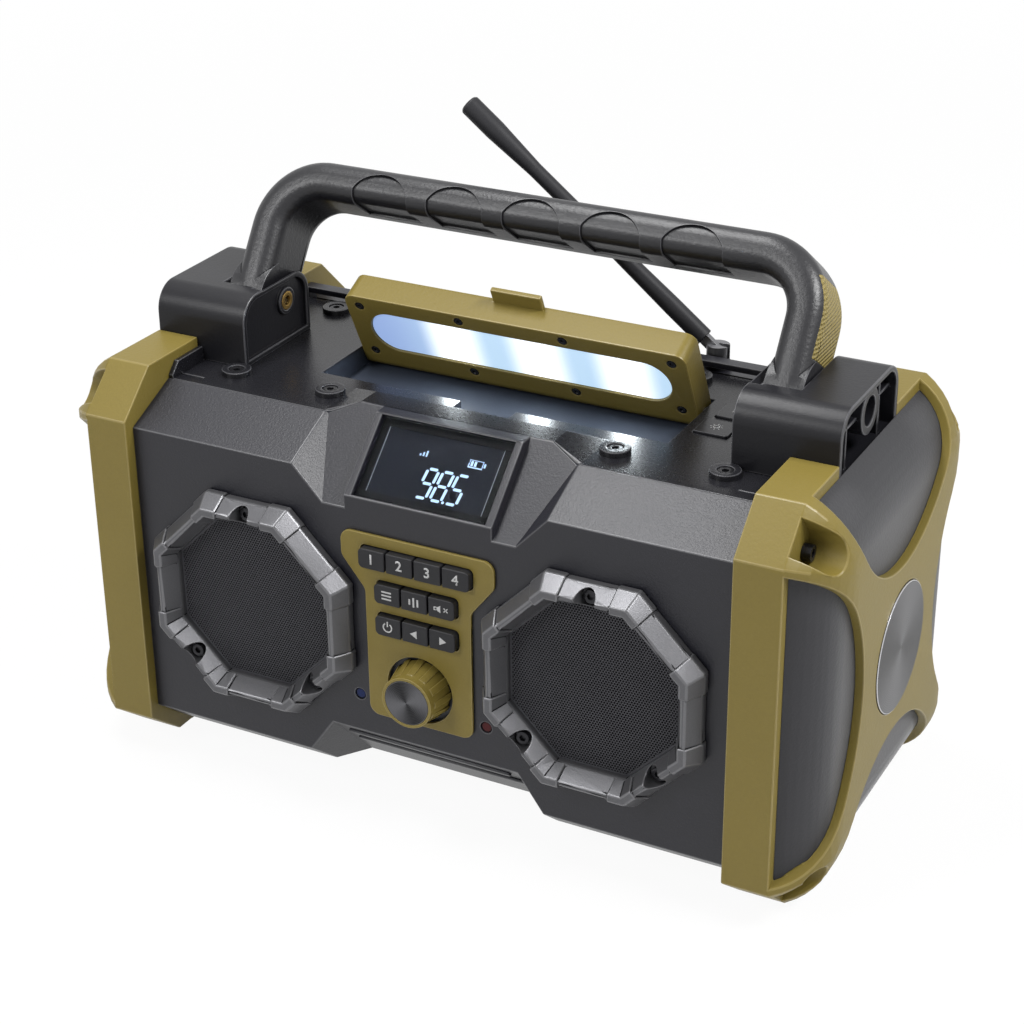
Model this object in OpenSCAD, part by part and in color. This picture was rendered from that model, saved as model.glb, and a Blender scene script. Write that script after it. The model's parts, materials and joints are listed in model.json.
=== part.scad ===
// Jobsite radio speaker with a folding lamp, a tilting handle and a hinged antenna.
// Millimetres, +Z up, +X to the right of someone facing the front, -Y towards that person.

/* [Body] */
// Width of the black body between the two end frames
body_w = 279; // [265:1:300]
// Depth of the black body from its front face to its rear face
body_d = 170; // [164:1:176]
// Wall of the moulded shells
wall = 3; // [2.5:0.5:4]
// Drop from the top of the end frames to the top panel
top_drop = 10.5; // [9:0.5:12]
// Rise from the underside of the end frames to the underside of the body
bottom_lift = 7; // [5:0.5:9]
// Depth of the sloped brow over the front face
brow_d = 28; // [24:1:30]
// Height of the sloped brow
brow_h = 12.5; // [10:0.5:14]
// Depth of the slope under the front and rear faces
under_d = 17; // [14:1:20]
// Height of the slope under the front and rear faces
under_h = 14; // [12:1:16]
// Height of the rear ledge over the top panel
ledge_h = 5; // [3:0.5:6]
// Depth of the rear ledge
ledge_d = 6.5; // [5:0.5:8]
// Depth of the trough that the folded antenna lies in
trough_d = 13; // [12:0.5:15]
// Depth of the trough's floor below the top panel
trough_drop = 2.5; // [1.5:0.5:4]
// Height of the stepped relief in the middle of the front's lower edge
sill_h = 17; // [12:1:20]

/* [End frames] */
// Height of an end frame
frame_h = 182; // [176:1:190]
// Depth of an end frame
frame_d = 180; // [174:1:190]
// Width of the flat band round each end
band_w = 20.5; // [18:0.5:24]
// How far each end swells out beyond its band
bulge = 19; // [16:0.5:22]
// Angle at which an end's rounding leaves its band
shoulder_angle = 28; // [20:1:35]
// Depth of the four corner facets along Y
facet_d = 20; // [18:0.5:22]
// Height of the upper corner facets
facet_top = 19; // [17:0.5:21]
// Height of the lower corner facets
facet_low = 16; // [15:0.5:19]
// Thickness of the frame over the soft end panel
frame_t = 4; // [3:0.5:5]
// Thickness of the band ring
ring_t = 14; // [13:0.5:16]
// Radius of the front and rear windows
side_window_r = 77; // [70:1:80]
// Distance from the end's centre to the front and rear windows
side_window_gap = 44; // [42:0.5:48]
// Radius of the upper and lower windows
top_window_r = 63; // [58:1:66]
// Distance from the end's centre to the upper and lower windows
top_window_gap = 39; // [37:0.5:42]
// Thickness of the soft end panel
panel_skin = 3; // [2:0.5:4]
// Diameter of the spun metal end disc
disc_dia = 57; // [50:1:60]
// Thickness of the end disc
disc_t = 2; // [1.5:0.5:3]
// How far the end disc stands out
disc_proud = 0.5; // [0:0.1:1]
// Width of the screw pockets in the frame's corners
pocket_w = 16; // [14:0.5:17]
// Depth of an end screw below its facet
end_screw_depth = 14.5; // [13.5:0.5:15]

/* [Speakers] */
// Height of the speakers' and end discs' centres above the ground
centre_h = 92.5; // [90:0.5:95]
// Distance of each speaker from the middle
speaker_x = 80.5; // [79:0.5:83]
// Width of the octagonal bezel across its flats
bezel_w = 97; // [95:1:102]
// Height of the bezel's ridge over the front face
bezel_h = 11; // [8:0.5:12]
// Height of the bezel's upright skirt
skirt_h = 4; // [3:0.5:5]
// Width of the octagonal grille across its flats
grille_w = 76; // [72:1:80]
// Least width of the bezel's band round the grille
band_least = 8.5; // [8:0.5:10]
// Thickness of the perforated grille
grille_t = 1.2; // [1:0.2:2]
// Diameter of the grille's holes
grille_hole = 2.6; // [2:0.1:3]
// Spacing of the grille's holes
grille_pitch = 5.2; // [5:0.2:7]
// Length of each corner sleeve of the bezel along a flat
sleeve_len = 9; // [7:0.5:11]
// Diameter of the driver's mounting flange
driver_dia = 86; // [80:1:88]
// Depth of the driver behind the front wall
driver_depth = 46; // [40:1:54]

/* [Display] */
// Slope of the display face
display_tilt = 43; // [40:0.5:45]
// Height of the display face's lower edge below the brow
display_drop = 15; // [13:0.5:16]
// Half width of the sloped display face
display_half = 45; // [43:0.5:48]
// Sideways flare of the display recess and hood
display_flare = 15; // [12:0.5:16]
// Height of the hood over the top panel
hood_h = 4.5; // [3:0.5:5]
// Depth of the hood's flat top
hood_d = 12; // [9:0.5:13]
// Width of the display window
window_w = 62; // [56:1:64]
// Height of the display window along the slope
window_h = 37; // [33:0.5:38]
// Width of the raised rim round the window
window_rim = 3.5; // [3:0.5:5]
// Rise of the window's rim over the display face
window_rise = 4.3; // [3:0.1:5]
// Depth of the window lens below its rim
window_sink = 1.5; // [1:0.1:2]
// Thickness of the window lens
window_t = 1.5; // [1:0.1:2]

/* [Controls] */
// Half width of the control plate's flared top
plate_top_half = 36; // [34:0.5:38]
// Half width of the control plate's lower part
plate_half = 25; // [24.5:0.5:27]
// Height of the control plate
plate_h = 86; // [84:0.5:88]
// Height of the control plate's flared head
plate_head_h = 26; // [24:0.5:28]
// Height of the control plate's lower edge above the ground
plate_z = 52; // [50:0.5:54]
// Least bare front between the control plate and the display
plate_gap = 3; // [2:0.5:5]
// Thickness of the control plate
plate_t = 1.5; // [1.5:0.1:2]
// Pitch of the four number keys
number_pitch = 13.2; // [12.6:0.1:13.4]
// Pitch of the keys in the two lower rows
key_pitch = 12.9; // [12:0.1:13.2]
// Pitch of the three rows of keys
row_pitch = 15; // [14:0.25:15.25]
// Height of a key
key_h = 9; // [8.5:0.25:10]
// How far a key stands out of the control plate
key_proud = 3; // [2.5:0.1:3.5]
// Travel of a key
key_travel = 1; // [0.8:0.1:1.2]
// Height of the top row of keys above the control plate's lower edge
key_row_z = 76; // [75:0.5:76.5]
// Height of the knob's centre above the control plate's lower edge
knob_z = 17.5; // [17:0.5:18]
// Diameter of the knob at its foot
knob_dia = 28; // [25:0.5:29]
// Diameter of the knob at its face
knob_face_dia = 23.5; // [22:0.5:25]
// How far the knob stands out of the control plate
knob_proud = 11.5; // [9:0.5:16]
// Diameter of the spun cap on the knob
cap_dia = 20.5; // [18:0.5:21]
// Diameter of the well round the knob
knob_well_dia = 31; // [30.5:0.5:32]
// Number of grip ribs on the knob
knob_ribs = 12; // [8:1:18]
// Diameter of the encoder shaft
shaft_dia = 6; // [5:0.5:7]
// Diameter of the indicator lenses
indicator_dia = 5; // [4:0.5:6]
// Distance of the indicators from the middle
indicator_x = 30.5; // [30:0.5:32]
// Height of the indicators above the ground
indicator_z = 59; // [57:0.5:60]

/* [Top panel] */
// Thickness of the top panel
top_t = 3; // [2.5:0.5:4]
// Distance of the inner top screws from the middle
screw_in_x = 67.3; // [64:0.5:70]
// Distance of the outer top screws from the middle
screw_out_x = 115.2; // [110:0.2:118]
// Diameter of a top screw boss
boss_dia = 13; // [11:0.5:14]
// Height of a top screw boss
boss_h = 2.5; // [1.5:0.5:3]
// Inset of the front top screws from the panel's front edge
screw_front = 17; // [15:0.5:19]
// Inset of the rear top screws from the ledge
screw_rear = 10; // [9:0.5:12]
// Distance of the top keys from the middle
top_key_x = 95; // [93:0.5:97]
// Width of a top key
top_key_w = 15; // [13:0.5:16]
// Depth of a top key
top_key_d = 14; // [12:0.5:15]

/* [Lamp] */
// Width of the lamp
lamp_w = 163; // [150:1:165]
// Height of the lamp from its hinge to its free edge
lamp_h = 40; // [36:0.5:41]
// Thickness of the lamp
lamp_t = 13.5; // [12.5:0.25:14]
// How far the folded lamp stands over the top panel
lamp_proud = 4.3; // [3.5:0.1:5]
// Distance of the lamp's hinge behind the middle
lamp_y = 18.7; // [18:0.1:20]
// Angle that the lamp stands open
lamp_open = 64; // [55:1:70]
// Width of the lamp's diffuser
diffuser_w = 144; // [130:1:146]
// Height of the lamp's diffuser
diffuser_h = 23; // [20:0.5:24]
// Width of the lamp's latch tab
tab_w = 24; // [20:0.5:28]
// Reach of the latch tab past the lamp's edge
tab_len = 7; // [5:0.25:8]
// Diameter of the lamp's hinge pins
lamp_pin_dia = 3; // [2.5:0.25:3.5]

/* [Handle] */
// Distance between the centres of the handle's legs
leg_span = 254; // [252:1:258]
// Thickness of the handle in its own plane
grip_t = 17; // [15:0.5:18]
// Depth of the handle across its plane
grip_d = 34; // [31:0.5:35]
// Radius of the handle's long edges
grip_r = 7.5; // [6:0.5:8]
// Bend radius of the handle's centre line
bend_r = 24; // [21:0.5:28]
// Distance from the pivot to the grip's centre line
grip_reach = 54; // [50:0.5:60]
// Lean of the handle when it rests on its stop
handle_lean = 34; // [28:1:36]
// Height of the pivot above the top panel
pivot_h = 19.5; // [19:0.5:21]
// Distance of the pivot behind the middle
pivot_y = 2; // [0:0.5:3]
// Diameter of the handle's pivot bolts
pivot_dia = 8; // [6:0.5:8]
// Distance of a bracket's inner face from the centre of the leg that it holds
bracket_in = 12.5; // [12:0.5:14]
// Depth of a bracket
bracket_d = 67; // [64:0.5:70]
// Depth of a bracket's inner cheek
cheek_d = 53; // [50:0.5:56]
// Height of a bracket over the top panel
bracket_h = 31; // [30:0.5:34]
// Radius of a bracket's upper edges
bracket_r = 12; // [9:0.5:13]
// Wall of a bracket
bracket_wall = 2.6; // [2:0.1:3]
// Pitch of the finger hollows under the grip
finger_pitch = 37; // [34:0.5:38]
// Width of a finger hollow
finger_w = 27; // [22:0.5:29]
// Depth of a finger hollow
finger_deep = 1.2; // [0.8:0.1:1.6]
// Thickness of the pads on the handle's legs
pad_t = 1.6; // [1.2:0.1:2]

/* [Antenna] */
// Distance of the antenna from the middle
antenna_x = 67; // [60:1:75]
// Length of the antenna from its pivot to its tip
antenna_len = 156; // [140:1:165]
// Angle of the antenna above the horizontal
antenna_lift = 38; // [30:1:50]
// Diameter of the antenna's tip
tip_dia = 9.5; // [9:0.25:10]
// Diameter of the antenna's waist
waist_dia = 6.8; // [6:0.2:7.6]
// Diameter of the antenna's lower end
root_dia = 8.5; // [8:0.25:9]
// Height of the antenna's pivot over the trough
antenna_rise = 7; // [6.75:0.25:8]

/* [Fits] */
// Gap between pieces that are fixed together
seat = 0.1; // [0.05:0.05:0.2]
// Gap beside pieces that slide or swing
slip = 0.4; // [0.3:0.05:0.5]
// Radial clearance of a shaft in its bearing
run = 0.05; // [0.03:0.01:0.08]
// Height of the rubber feet under the end frames
foot_h = 3; // [2:0.5:4]
// Diameter of the rubber feet
foot_dia = 15; // [12:0.5:17]
// Depth that a foot is let into its frame
foot_sink = 2; // [1:0.5:3]

/* [Hidden] */
$fn = 48;
big = 400;
eps = 0.01;

// Planes of the body and the end frames, with Y counted from the middle of the body
half_w = body_w / 2;
band_x = half_w + band_w;
end_x = band_x + bulge;
front_y = -body_d / 2;
low_z = foot_h;
high_z = foot_h + frame_h;
mid_z = (low_z + high_z) / 2;
top_z = high_z - top_drop;
under_z = low_z + bottom_lift;
brow_z = top_z - brow_h;
brow_y = front_y + brow_d;
ledge_y = body_d / 2 - 32;
rear_fold_y = ledge_y + ledge_d + trough_d;
trough_z = top_z - trough_drop;
plate_y = front_y - plate_t;
knob_y = plate_y - knob_proud;
// The part's box is centred on the origin, so the body sits a little behind it
body_y = (-knob_y - frame_d / 2) / 2;

olive = [0.49, 0.45, 0.20];
shell_black = [0.13, 0.13, 0.14];
satin_black = [0.08, 0.08, 0.09];
soft_grey = [0.25, 0.25, 0.27];
gunmetal = [0.45, 0.45, 0.47];
steel = [0.7, 0.7, 0.72];
brass = [0.78, 0.62, 0.3];

// Placing helpers

module placed() {
  translate([0, body_y, 0]) children();
}

// A flat shape in Y and Z, extruded along X between two planes
module along_x(x0, x1) {
  translate([x0, 0, 0]) rotate([90, 0, 90]) linear_extrude(x1 - x0) children();
}

// A flat shape in X and Z, extruded along Y between two planes
module along_y(y0, y1) {
  translate([0, y1, 0]) rotate([90, 0, 0]) linear_extrude(y1 - y0) children();
}

// A round bar along X
module rod_x(x0, x1, r) {
  translate([x0, 0, 0]) rotate([0, 90, 0]) cylinder(h = x1 - x0, r = r);
}

// A round bar along Y
module rod_y(y0, y1, r) {
  translate([0, y0, 0]) rotate([-90, 0, 0]) cylinder(h = y1 - y0, r = r);
}

module rounded_rect(w, h, r) {
  square([w - 2 * r, h], center = true);
  square([w, h - 2 * r], center = true);
  for (x = [-1, 1], y = [-1, 1]) translate([x * (w / 2 - r), y * (h / 2 - r)]) circle(r);
}

module stadium(w, h) {
  square([w - h, h], center = true);
  for (x = [-1, 1]) translate([x * (w - h) / 2, 0]) circle(h / 2);
}

module mirrored() {
  children();
  mirror([1, 0, 0]) children();
}

// Body shells

// The shells' roof lies under the top panel, so the space below it is lower by the panel
function roof_z(inset) = inset > 0 ? top_z - inset - top_t : top_z;

function front_profile(inset) = [
  [0, under_z + inset], [front_y + under_d + inset * 0.4, under_z + inset],
  [front_y + inset, under_z + under_h + inset * 0.4], [front_y + inset, brow_z - inset * 0.2],
  [brow_y + inset * 0.2, roof_z(inset)], [0, roof_z(inset)]
];

function rear_profile(inset) = [
  [0, under_z + inset], [-front_y - under_d - inset * 0.4, under_z + inset],
  [-front_y - inset, under_z + under_h + inset * 0.4], [-front_y - inset, brow_z - inset * 0.2],
  [rear_fold_y - inset * 0.2, trough_z - inset], [ledge_y + ledge_d, trough_z - inset],
  [ledge_y + ledge_d, top_z + ledge_h - inset], [ledge_y, top_z + ledge_h - inset],
  [ledge_y, roof_z(inset)], [0, roof_z(inset)]
];

// The sloped frame of the display: X across, Y up the slope, Z out of the face
module display_frame() {
  translate([0, front_y, brow_z - display_drop]) rotate([display_tilt, 0, 0]) children();
}

display_foot = window_rise * tan(display_tilt);
display_run = (top_z + hood_h - brow_z + display_drop) / sin(display_tilt);
display_top_y = front_y + display_run * cos(display_tilt);
brow_tilt = atan2(brow_h, brow_d);
flare_rise = display_drop * cos(brow_tilt);

// How far from the middle a flank of the display recess lies, counted in rises above its low corner
function flank_foot(rises) = display_half + rises * (display_flare - 0.8);

// What the display recess takes out of the brow
module display_recess(grow) {
  intersection() {
    display_frame() translate([-big / 2, -big / 2, -grow]) cube([big, big, big / 2]);
    translate([0, front_y, brow_z - display_drop]) rotate([brow_tilt, 0, 0]) translate([0, big / 2, 0])
      rotate([90, 0, 0]) linear_extrude(big) polygon([
        [-flank_foot(-1) - grow, -flare_rise], [flank_foot(-1) + grow, -flare_rise],
        [flank_foot(3) + grow, 3 * flare_rise], [-flank_foot(3) - grow, 3 * flare_rise]
      ]);
  }
}

// The raised rim round the display window
module display_rim(grow) {
  intersection() {
    display_frame() translate([-window_w / 2 - window_rim - grow, -big / 2, -wall])
      cube([window_w + 2 * window_rim + 2 * grow, big / 2 + display_run - eps, wall + window_rise]);
    translate([-big / 2, front_y, 0]) cube([big, body_d / 2, top_z + hood_h]);
  }
}

module window_place() {
  display_frame() translate([0, display_foot + 1 + window_h / 2, window_rise]) children();
}

// The hood over the display, wider at its foot
module hood() {
  hull() {
    translate([-display_half, display_top_y, top_z + hood_h - eps]) cube([2 * display_half, hood_d, eps]);
    translate([-display_half - display_flare, display_top_y - hood_h / tan(display_tilt), top_z - top_t])
      cube([2 * (display_half + display_flare), hood_d + hood_h / tan(display_tilt) + 8, top_t]);
  }
}

// The top panel's outline, whose front edge steps back round the hood
module panel_outline(gap) {
  polygon([
    [-half_w, brow_y + gap], [-display_half - display_flare, brow_y + gap],
    [-display_half, display_top_y + gap], [display_half, display_top_y + gap],
    [display_half + display_flare, brow_y + gap], [half_w, brow_y + gap],
    [half_w, ledge_y - gap], [-half_w, ledge_y - gap]
  ]);
}

module panel_space() {
  translate([0, 0, top_z - top_t]) linear_extrude(big) panel_outline(0);
}

// The stepped relief in the middle of the front's lower edge
module sill(grow, step) {
  translate([0, front_y + step, under_z + under_h + sill_h - step])
    rotate([-45, 0, 0]) translate([0, big / 2, grow]) rotate([90, 0, 0]) linear_extrude(big)
      polygon([
        [-display_half - grow, 0], [display_half + grow, 0],
        [display_half + grow + 4 * sill_h, -4 * sill_h], [-display_half - grow - 4 * sill_h, -4 * sill_h]
      ]);
}

// Corners of an end frame: side along Y, side along Z
corners = [[-1, 1], [1, 1], [-1, -1], [1, -1]];
function facet_h(c) = c[1] > 0 ? facet_top : facet_low;
function facet_angle(c) = atan2(facet_h(c), facet_d);
function facet_mid(c) = [
  c[0] * (frame_d - facet_d) / 2,
  (c[1] > 0 ? high_z : low_z) - c[1] * facet_h(c) / 2
];
// A point at a depth below the middle of a corner facet
function below_facet(c, depth) = facet_mid(c) - depth * [c[0] * sin(facet_angle(c)), c[1] * cos(facet_angle(c))];

screw_r = 2;
post_r = 5;
post_len = 14;

module at_end_screws(y_side) {
  for (c = corners) if (c[0] == y_side) {
    p = below_facet(c, end_screw_depth);
    translate([0, p[0], p[1]]) children();
  }
}

module end_posts(y_side) {
  mirrored() at_end_screws(y_side) difference() {
    rod_x(half_w - post_len, half_w, post_r);
    rod_x(half_w - post_len - eps, half_w + eps, screw_r + seat);
  }
}

module end_post_holes(y_side) {
  mirrored() at_end_screws(y_side) rod_x(half_w - post_len - eps, half_w + eps, screw_r + seat);
}

// The seats for the top panel's screws in the shells
post_top_z = top_z - top_t;

module at_top_screws(rear) {
  y = rear ? ledge_y - screw_rear : brow_y + screw_front;
  for (x = [-screw_out_x, -screw_in_x, screw_in_x, screw_out_x]) translate([x, y, 0]) children();
}

top_screw_r = 1.75;
top_post_h = 14;

module top_posts(rear) {
  at_top_screws(rear) translate([0, 0, post_top_z - top_post_h]) cylinder(h = top_post_h, r = boss_dia / 2 - 2);
}

module top_post_holes(rear) {
  at_top_screws(rear) translate([0, 0, post_top_z - top_post_h - 1]) cylinder(h = big, r = top_screw_r + seat);
}

board_gap = 3;
board_t = 1.6;
board_w = 44;
board_h = 83;
board_y = front_y + wall + board_gap;
knob_mid_z = plate_z + knob_z;
plate_room = brow_z - display_drop - plate_gap - plate_z;
cluster_share = min(1, plate_room / plate_h);
well_deep = 1.5;
bush_r = shaft_dia / 2 + 1.5;

// The control cluster draws together where the display leaves it less room
module cluster() {
  translate([0, 0, plate_z]) scale([cluster_share, 1, cluster_share]) translate([0, 0, -plate_z]) children();
}

module at_knob() {
  cluster() translate([0, 0, knob_mid_z]) children();
}

module front_shell() {
  color(shell_black) placed() {
    difference() {
      union() {
        difference() {
          along_x(-half_w, half_w) polygon(front_profile(0));
          difference() {
            along_x(wall - half_w, half_w - wall) polygon(front_profile(wall));
            display_recess(wall);
            sill(wall, 0);
          }
          display_recess(0);
          sill(0, 0);
        }
        intersection() {
          sill_steps();
          along_x(-half_w, half_w) polygon(front_profile(0));
        }
        display_rim(0);
        intersection() {
          hood();
          translate([-big / 2, front_y, 0]) cube([big, body_d / 2, big]);
        }
        intersection() {
          end_posts(-1);
          along_x(-half_w, half_w) polygon(front_profile(0));
        }
        top_posts(false);
        board_posts();
      }
      panel_space();
      tub_space();
      top_key_wells();
      end_post_holes(-1);
      top_post_holes(false);
      window_place() translate([0, 0, -window_sink - window_t]) window_slab(window_w + 2 * seat, window_h + 2 * seat, big);
      window_place() translate([0, 0, -wall - window_rise - eps]) window_slab(window_w - 4, window_h - 4, big);
      speaker_holes();
      control_openings();
      translate([-big / 2, 0, 0]) cube([big, big, big]);
    }
  }
}

module sill_steps() {
  for (step = [3, 6]) difference() {
    translate([-display_half - step, front_y + step, under_z])
      cube([2 * (display_half + step), wall, under_h + sill_h - step]);
    sill(0, step);
  }
}

module window_slab(w, h, t) {
  translate([-w / 2, -h / 2, 0]) cube([w, h, t]);
}

module speaker_holes() {
  for (x = [-speaker_x, speaker_x]) translate([x, 0, centre_h]) rod_y(front_y - eps, front_y + wall + eps, cone_r + 1);
}

module board_posts() {
  cluster() for (x = [-1, 1], z = [0.5, board_h - 0.5])
    translate([x * (board_w / 2 - 4), 0, plate_z + 3 + z]) rod_y(front_y + wall - eps, board_y, 3);
}

module control_openings() {
  for (row = [0 : 2]) at_row(row) along_y(front_y - eps, front_y + wall + eps)
    rounded_rect(key_rows[row][0] * key_rows[row][1] + 2 * slip, key_h + 2 * key_flange_side + 2 * slip, 1);
  at_knob() {
    rod_y(front_y - eps, front_y + well_deep, knob_well_dia / 2);
    rod_y(front_y - eps, front_y + wall + eps, bush_r + seat);
  }
  for (x = [-indicator_x, indicator_x]) translate([x, 0, indicator_z])
    rod_y(front_y - eps, front_y + wall + eps, indicator_dia / 2 + seat);
}

module rear_shell() {
  color(shell_black) placed() {
    difference() {
      union() {
        difference() {
          along_x(-half_w, half_w) polygon(rear_profile(0));
          along_x(wall - half_w, half_w - wall) polygon(rear_profile(wall));
        }
        intersection() {
          end_posts(1);
          along_x(-half_w, half_w) polygon(rear_profile(0));
        }
        top_posts(true);
        rear_ribs();
        pack_cradle();
        main_board_posts();
        antenna_seat();
      }
      panel_space();
      tub_space();
      top_key_wells();
      end_post_holes(1);
      top_post_holes(true);
      antenna_hole();
      translate([-big / 2, -big, 0]) cube([big, big, big]);
    }
  }
}

// Stiffening ribs across the rear face
rib_w = 4;
rib_proud = 2;
module rear_ribs() {
  for (x = [-105, -75, -45, 45, 75, 105])
    translate([x - rib_w / 2, -front_y - eps, under_z + under_h + 8])
      cube([rib_w, rib_proud, brow_z - under_z - under_h - 16]);
}

// The top panel with its lamp tub, screw bosses and key openings

tub_gap = 1;
tub_half = lamp_w / 2 + tub_gap;
tub_front = lamp_y - lamp_h - tub_gap;
tub_rear = lamp_y + lamp_t / 2 + tub_gap;
tub_floor = top_z + lamp_proud - lamp_t - tub_gap;
tub_wall = 3.5;
lamp_z = top_z + lamp_proud - lamp_t / 2;
tab_room = tab_len + tub_gap;

module tub_block(grow) {
  translate([-tub_half - grow, tub_front - grow, tub_floor - grow])
    cube([2 * (tub_half + grow), tub_rear - tub_front + 2 * grow, big]);
}

module tub_space() {
  tub_block(tub_wall + seat);
}

module finger_scoop() {
  translate([0, tub_front, top_z + 6]) rod_y(-11, 2, 11);
}

module top_panel() {
  color(satin_black) placed() difference() {
    union() {
      translate([0, 0, top_z - top_t]) linear_extrude(top_t) panel_outline(seat);
      intersection() {
        hood();
        translate([0, 0, top_z - top_t]) linear_extrude(big) panel_outline(seat);
      }
      intersection() {
        tub_block(tub_wall);
        translate([-big / 2, -big / 2, 0]) cube([big, big, top_z]);
      }
      for (rear = [false, true]) at_top_screws(rear) translate([0, 0, top_z - eps]) cylinder(h = boss_h, r = boss_dia / 2);
      side_rims();
    }
    tub_block(0);
    translate([-tab_w / 2 - 1, tub_front - tab_room, top_z - tab_room]) cube([tab_w + 2, tab_room + 1, big]);
    finger_scoop();
    for (rear = [false, true]) at_top_screws(rear) translate([0, 0, top_z]) {
      translate([0, 0, -big / 2]) cylinder(h = big, r = top_screw_r + seat);
      cylinder(h = big, r = screw_head_r + seat);
    }
    for (x = [-1, 1]) translate([x * tub_half, lamp_y, lamp_z]) rod_x(-tub_wall, tub_wall, lamp_pin_dia / 2 + seat);
    for (k = [0, 1]) at_top_key(k) translate([0, 0, -big / 2])
      linear_extrude(big) rounded_rect(top_key_w + 2 * slip, top_key_d + 2 * slip, 1.5);
    corner_grooves();
  }
}

side_rim_t = 2.4;
side_rim_h = 6.5;

// Raised rims along the end frames, before and behind the handle brackets
module side_rims() {
  low = top_z - eps;
  high = top_z + side_rim_h;
  front = [[brow_y + seat, low], [rim_front, low], [rim_front, high], [brow_y + 5, high], [brow_y + seat, top_z + 1.5]];
  rear = [[rim_rear, low], [ledge_y - seat, low], [ledge_y - seat, top_z + ledge_h], [rim_rear, top_z + ledge_h]];
  mirrored() along_x(half_w - side_rim_t - seat, half_w - seat) {
    polygon(front);
    polygon(rear);
  }
}

rim_front = -bracket_d / 2 - seat;
rim_rear = bracket_d / 2 + seat;

// Shallow grooves near the panel's outer front corners
module corner_grooves() {
  mirrored() translate([half_w - 14, brow_y + 6, top_z - 0.6]) cube([14, 0.8, 1]);
}

screw_head_r = 3.4;
screw_head_h = 2;

module top_screws() {
  color(steel) placed() for (rear = [false, true]) at_top_screws(rear) translate([0, 0, top_z]) difference() {
    union() {
      cylinder(h = screw_head_h, r = screw_head_r);
      translate([0, 0, -top_t - top_post_h + 2]) cylinder(h = top_t + top_post_h - 1, r = top_screw_r);
    }
    translate([0, 0, screw_head_h - 1.2]) cylinder(h = 2, r = 1.6, $fn = 6);
  }
}

// The two keys beside the right bracket
top_key_proud = 1;
top_key_flange = 1.2;

module at_top_key(k) {
  translate([top_key_x + k * 2, lamp_y - 20 + k * (top_key_d + 4), top_z]) children();
}

module top_key(k) {
  color(satin_black) placed() at_top_key(k) {
    translate([0, 0, -top_t - slip - eps]) linear_extrude(top_t + slip + top_key_proud + eps)
      rounded_rect(top_key_w, top_key_d, 1.2);
    translate([0, 0, -top_t - slip - top_key_flange]) linear_extrude(top_key_flange)
      rounded_rect(top_key_w - 3, top_key_d + 4, 1);
  }
}

// Room for the top keys' flanges in the shells' roof
module top_key_wells() {
  for (k = [0, 1]) at_top_key(k) translate([0, 0, -top_t - wall - 1])
    linear_extrude(big) square([top_key_w, top_key_d + 6], center = true);
}

module lamp_key() { top_key(0); }
module scan_key() { top_key(1); }

// End frames, soft end panels and discs

// The end's octagon in Y and Z with all its sides drawn in by an inset
function octagon_points(inset) = [
  for (c = [[-1, -1], [1, -1], [1, 1], [-1, 1]]) each octagon_corner(c, inset)
];

// The two points of one corner of the octagon, in turning order
function octagon_corner(c, inset) =
  let (
    mid = facet_mid(c),
    a = facet_angle(c),
    y = c[0] * (frame_d / 2 - inset),
    z = c[1] > 0 ? high_z - inset : low_z + inset,
    side = [y, mid[1] - (inset + c[0] * sin(a) * (y - mid[0])) / (c[1] * cos(a))],
    cap = [mid[0] - (inset + c[1] * cos(a) * (z - mid[1])) / (c[0] * sin(a)), z]
  ) c[0] * c[1] > 0 ? [side, cap] : [cap, side];

module octagon(inset) {
  polygon(octagon_points(inset));
}

// Steps of the rounding between an end's band and its face
round_steps = 8;
shoulder_r = bulge / (1 - sin(shoulder_angle));
shoulder_x = end_x - shoulder_r;
shoulder_in = shoulder_r * cos(shoulder_angle);

// The rounded flank of an end: distance along X, and inset from the flank's plane
function flank(inset, x0) =
  let (
    r = shoulder_r - inset,
    a0 = asin((band_x - shoulder_x) / r),
    start = shoulder_in - r * cos(a0)
  ) [
    if (x0 < band_x) [x0, start],
    for (k = [0 : round_steps]) let (a = a0 + (90 - a0) * k / round_steps)
      [shoulder_x + r * sin(a), shoulder_in - r * cos(a)]
  ];

// Two opposite flanks with the end's face between them
module two_flanks(low, high, inset, x0) {
  points = flank(inset, x0);
  last = len(points) - 1;
  polygon([
    for (p = points) [p[0], low + p[1]],
    for (k = [last : -1 : 0]) [points[k][0], high - points[k][1]]
  ]);
}

// The swollen octagonal end from a plane outwards, all its faces drawn in by an inset
module pillow(inset, x0) {
  intersection() {
    along_y(-frame_d, frame_d) two_flanks(low_z, high_z, inset, x0);
    translate([0, 0, -frame_h]) linear_extrude(3 * frame_h) two_flanks(-frame_d / 2, frame_d / 2, inset, x0);
    facet_flank(corners[0], inset, x0);
    facet_flank(corners[1], inset, x0);
    facet_flank(corners[2], inset, x0);
    facet_flank(corners[3], inset, x0);
  }
}

// The flank of one corner facet, with everything below it; it leaves the band a little further out
facet_shift = 0.3;
module facet_flank(c, inset, x0) {
  p = facet_mid(c);
  translate([facet_shift, p[0], p[1]]) rotate([-c[0] * c[1] * facet_angle(c) + (c[1] > 0 ? 0 : 180), 0, 0])
    along_y(-frame_d, frame_d) two_flanks(-3 * frame_d, 0, inset, min(x0, band_x) - 1);
}

// The U-shaped room of an end screw pocket, grown for the block round it
module pocket_shape(c, grow, x0, x1) {
  p = facet_mid(c);
  r = pocket_w / 2 + grow;
  translate([0, p[0], p[1]]) rotate([-c[0] * c[1] * facet_angle(c) + (c[1] > 0 ? 0 : 180), 0, 0])
    along_x(x0, x1) {
      translate([0, -pocket_depth]) circle(r);
      translate([-r, -pocket_depth]) square([2 * r, big / 2]);
    }
}

pocket_depth = 10.2;
pocket_wall = 3;

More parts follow.
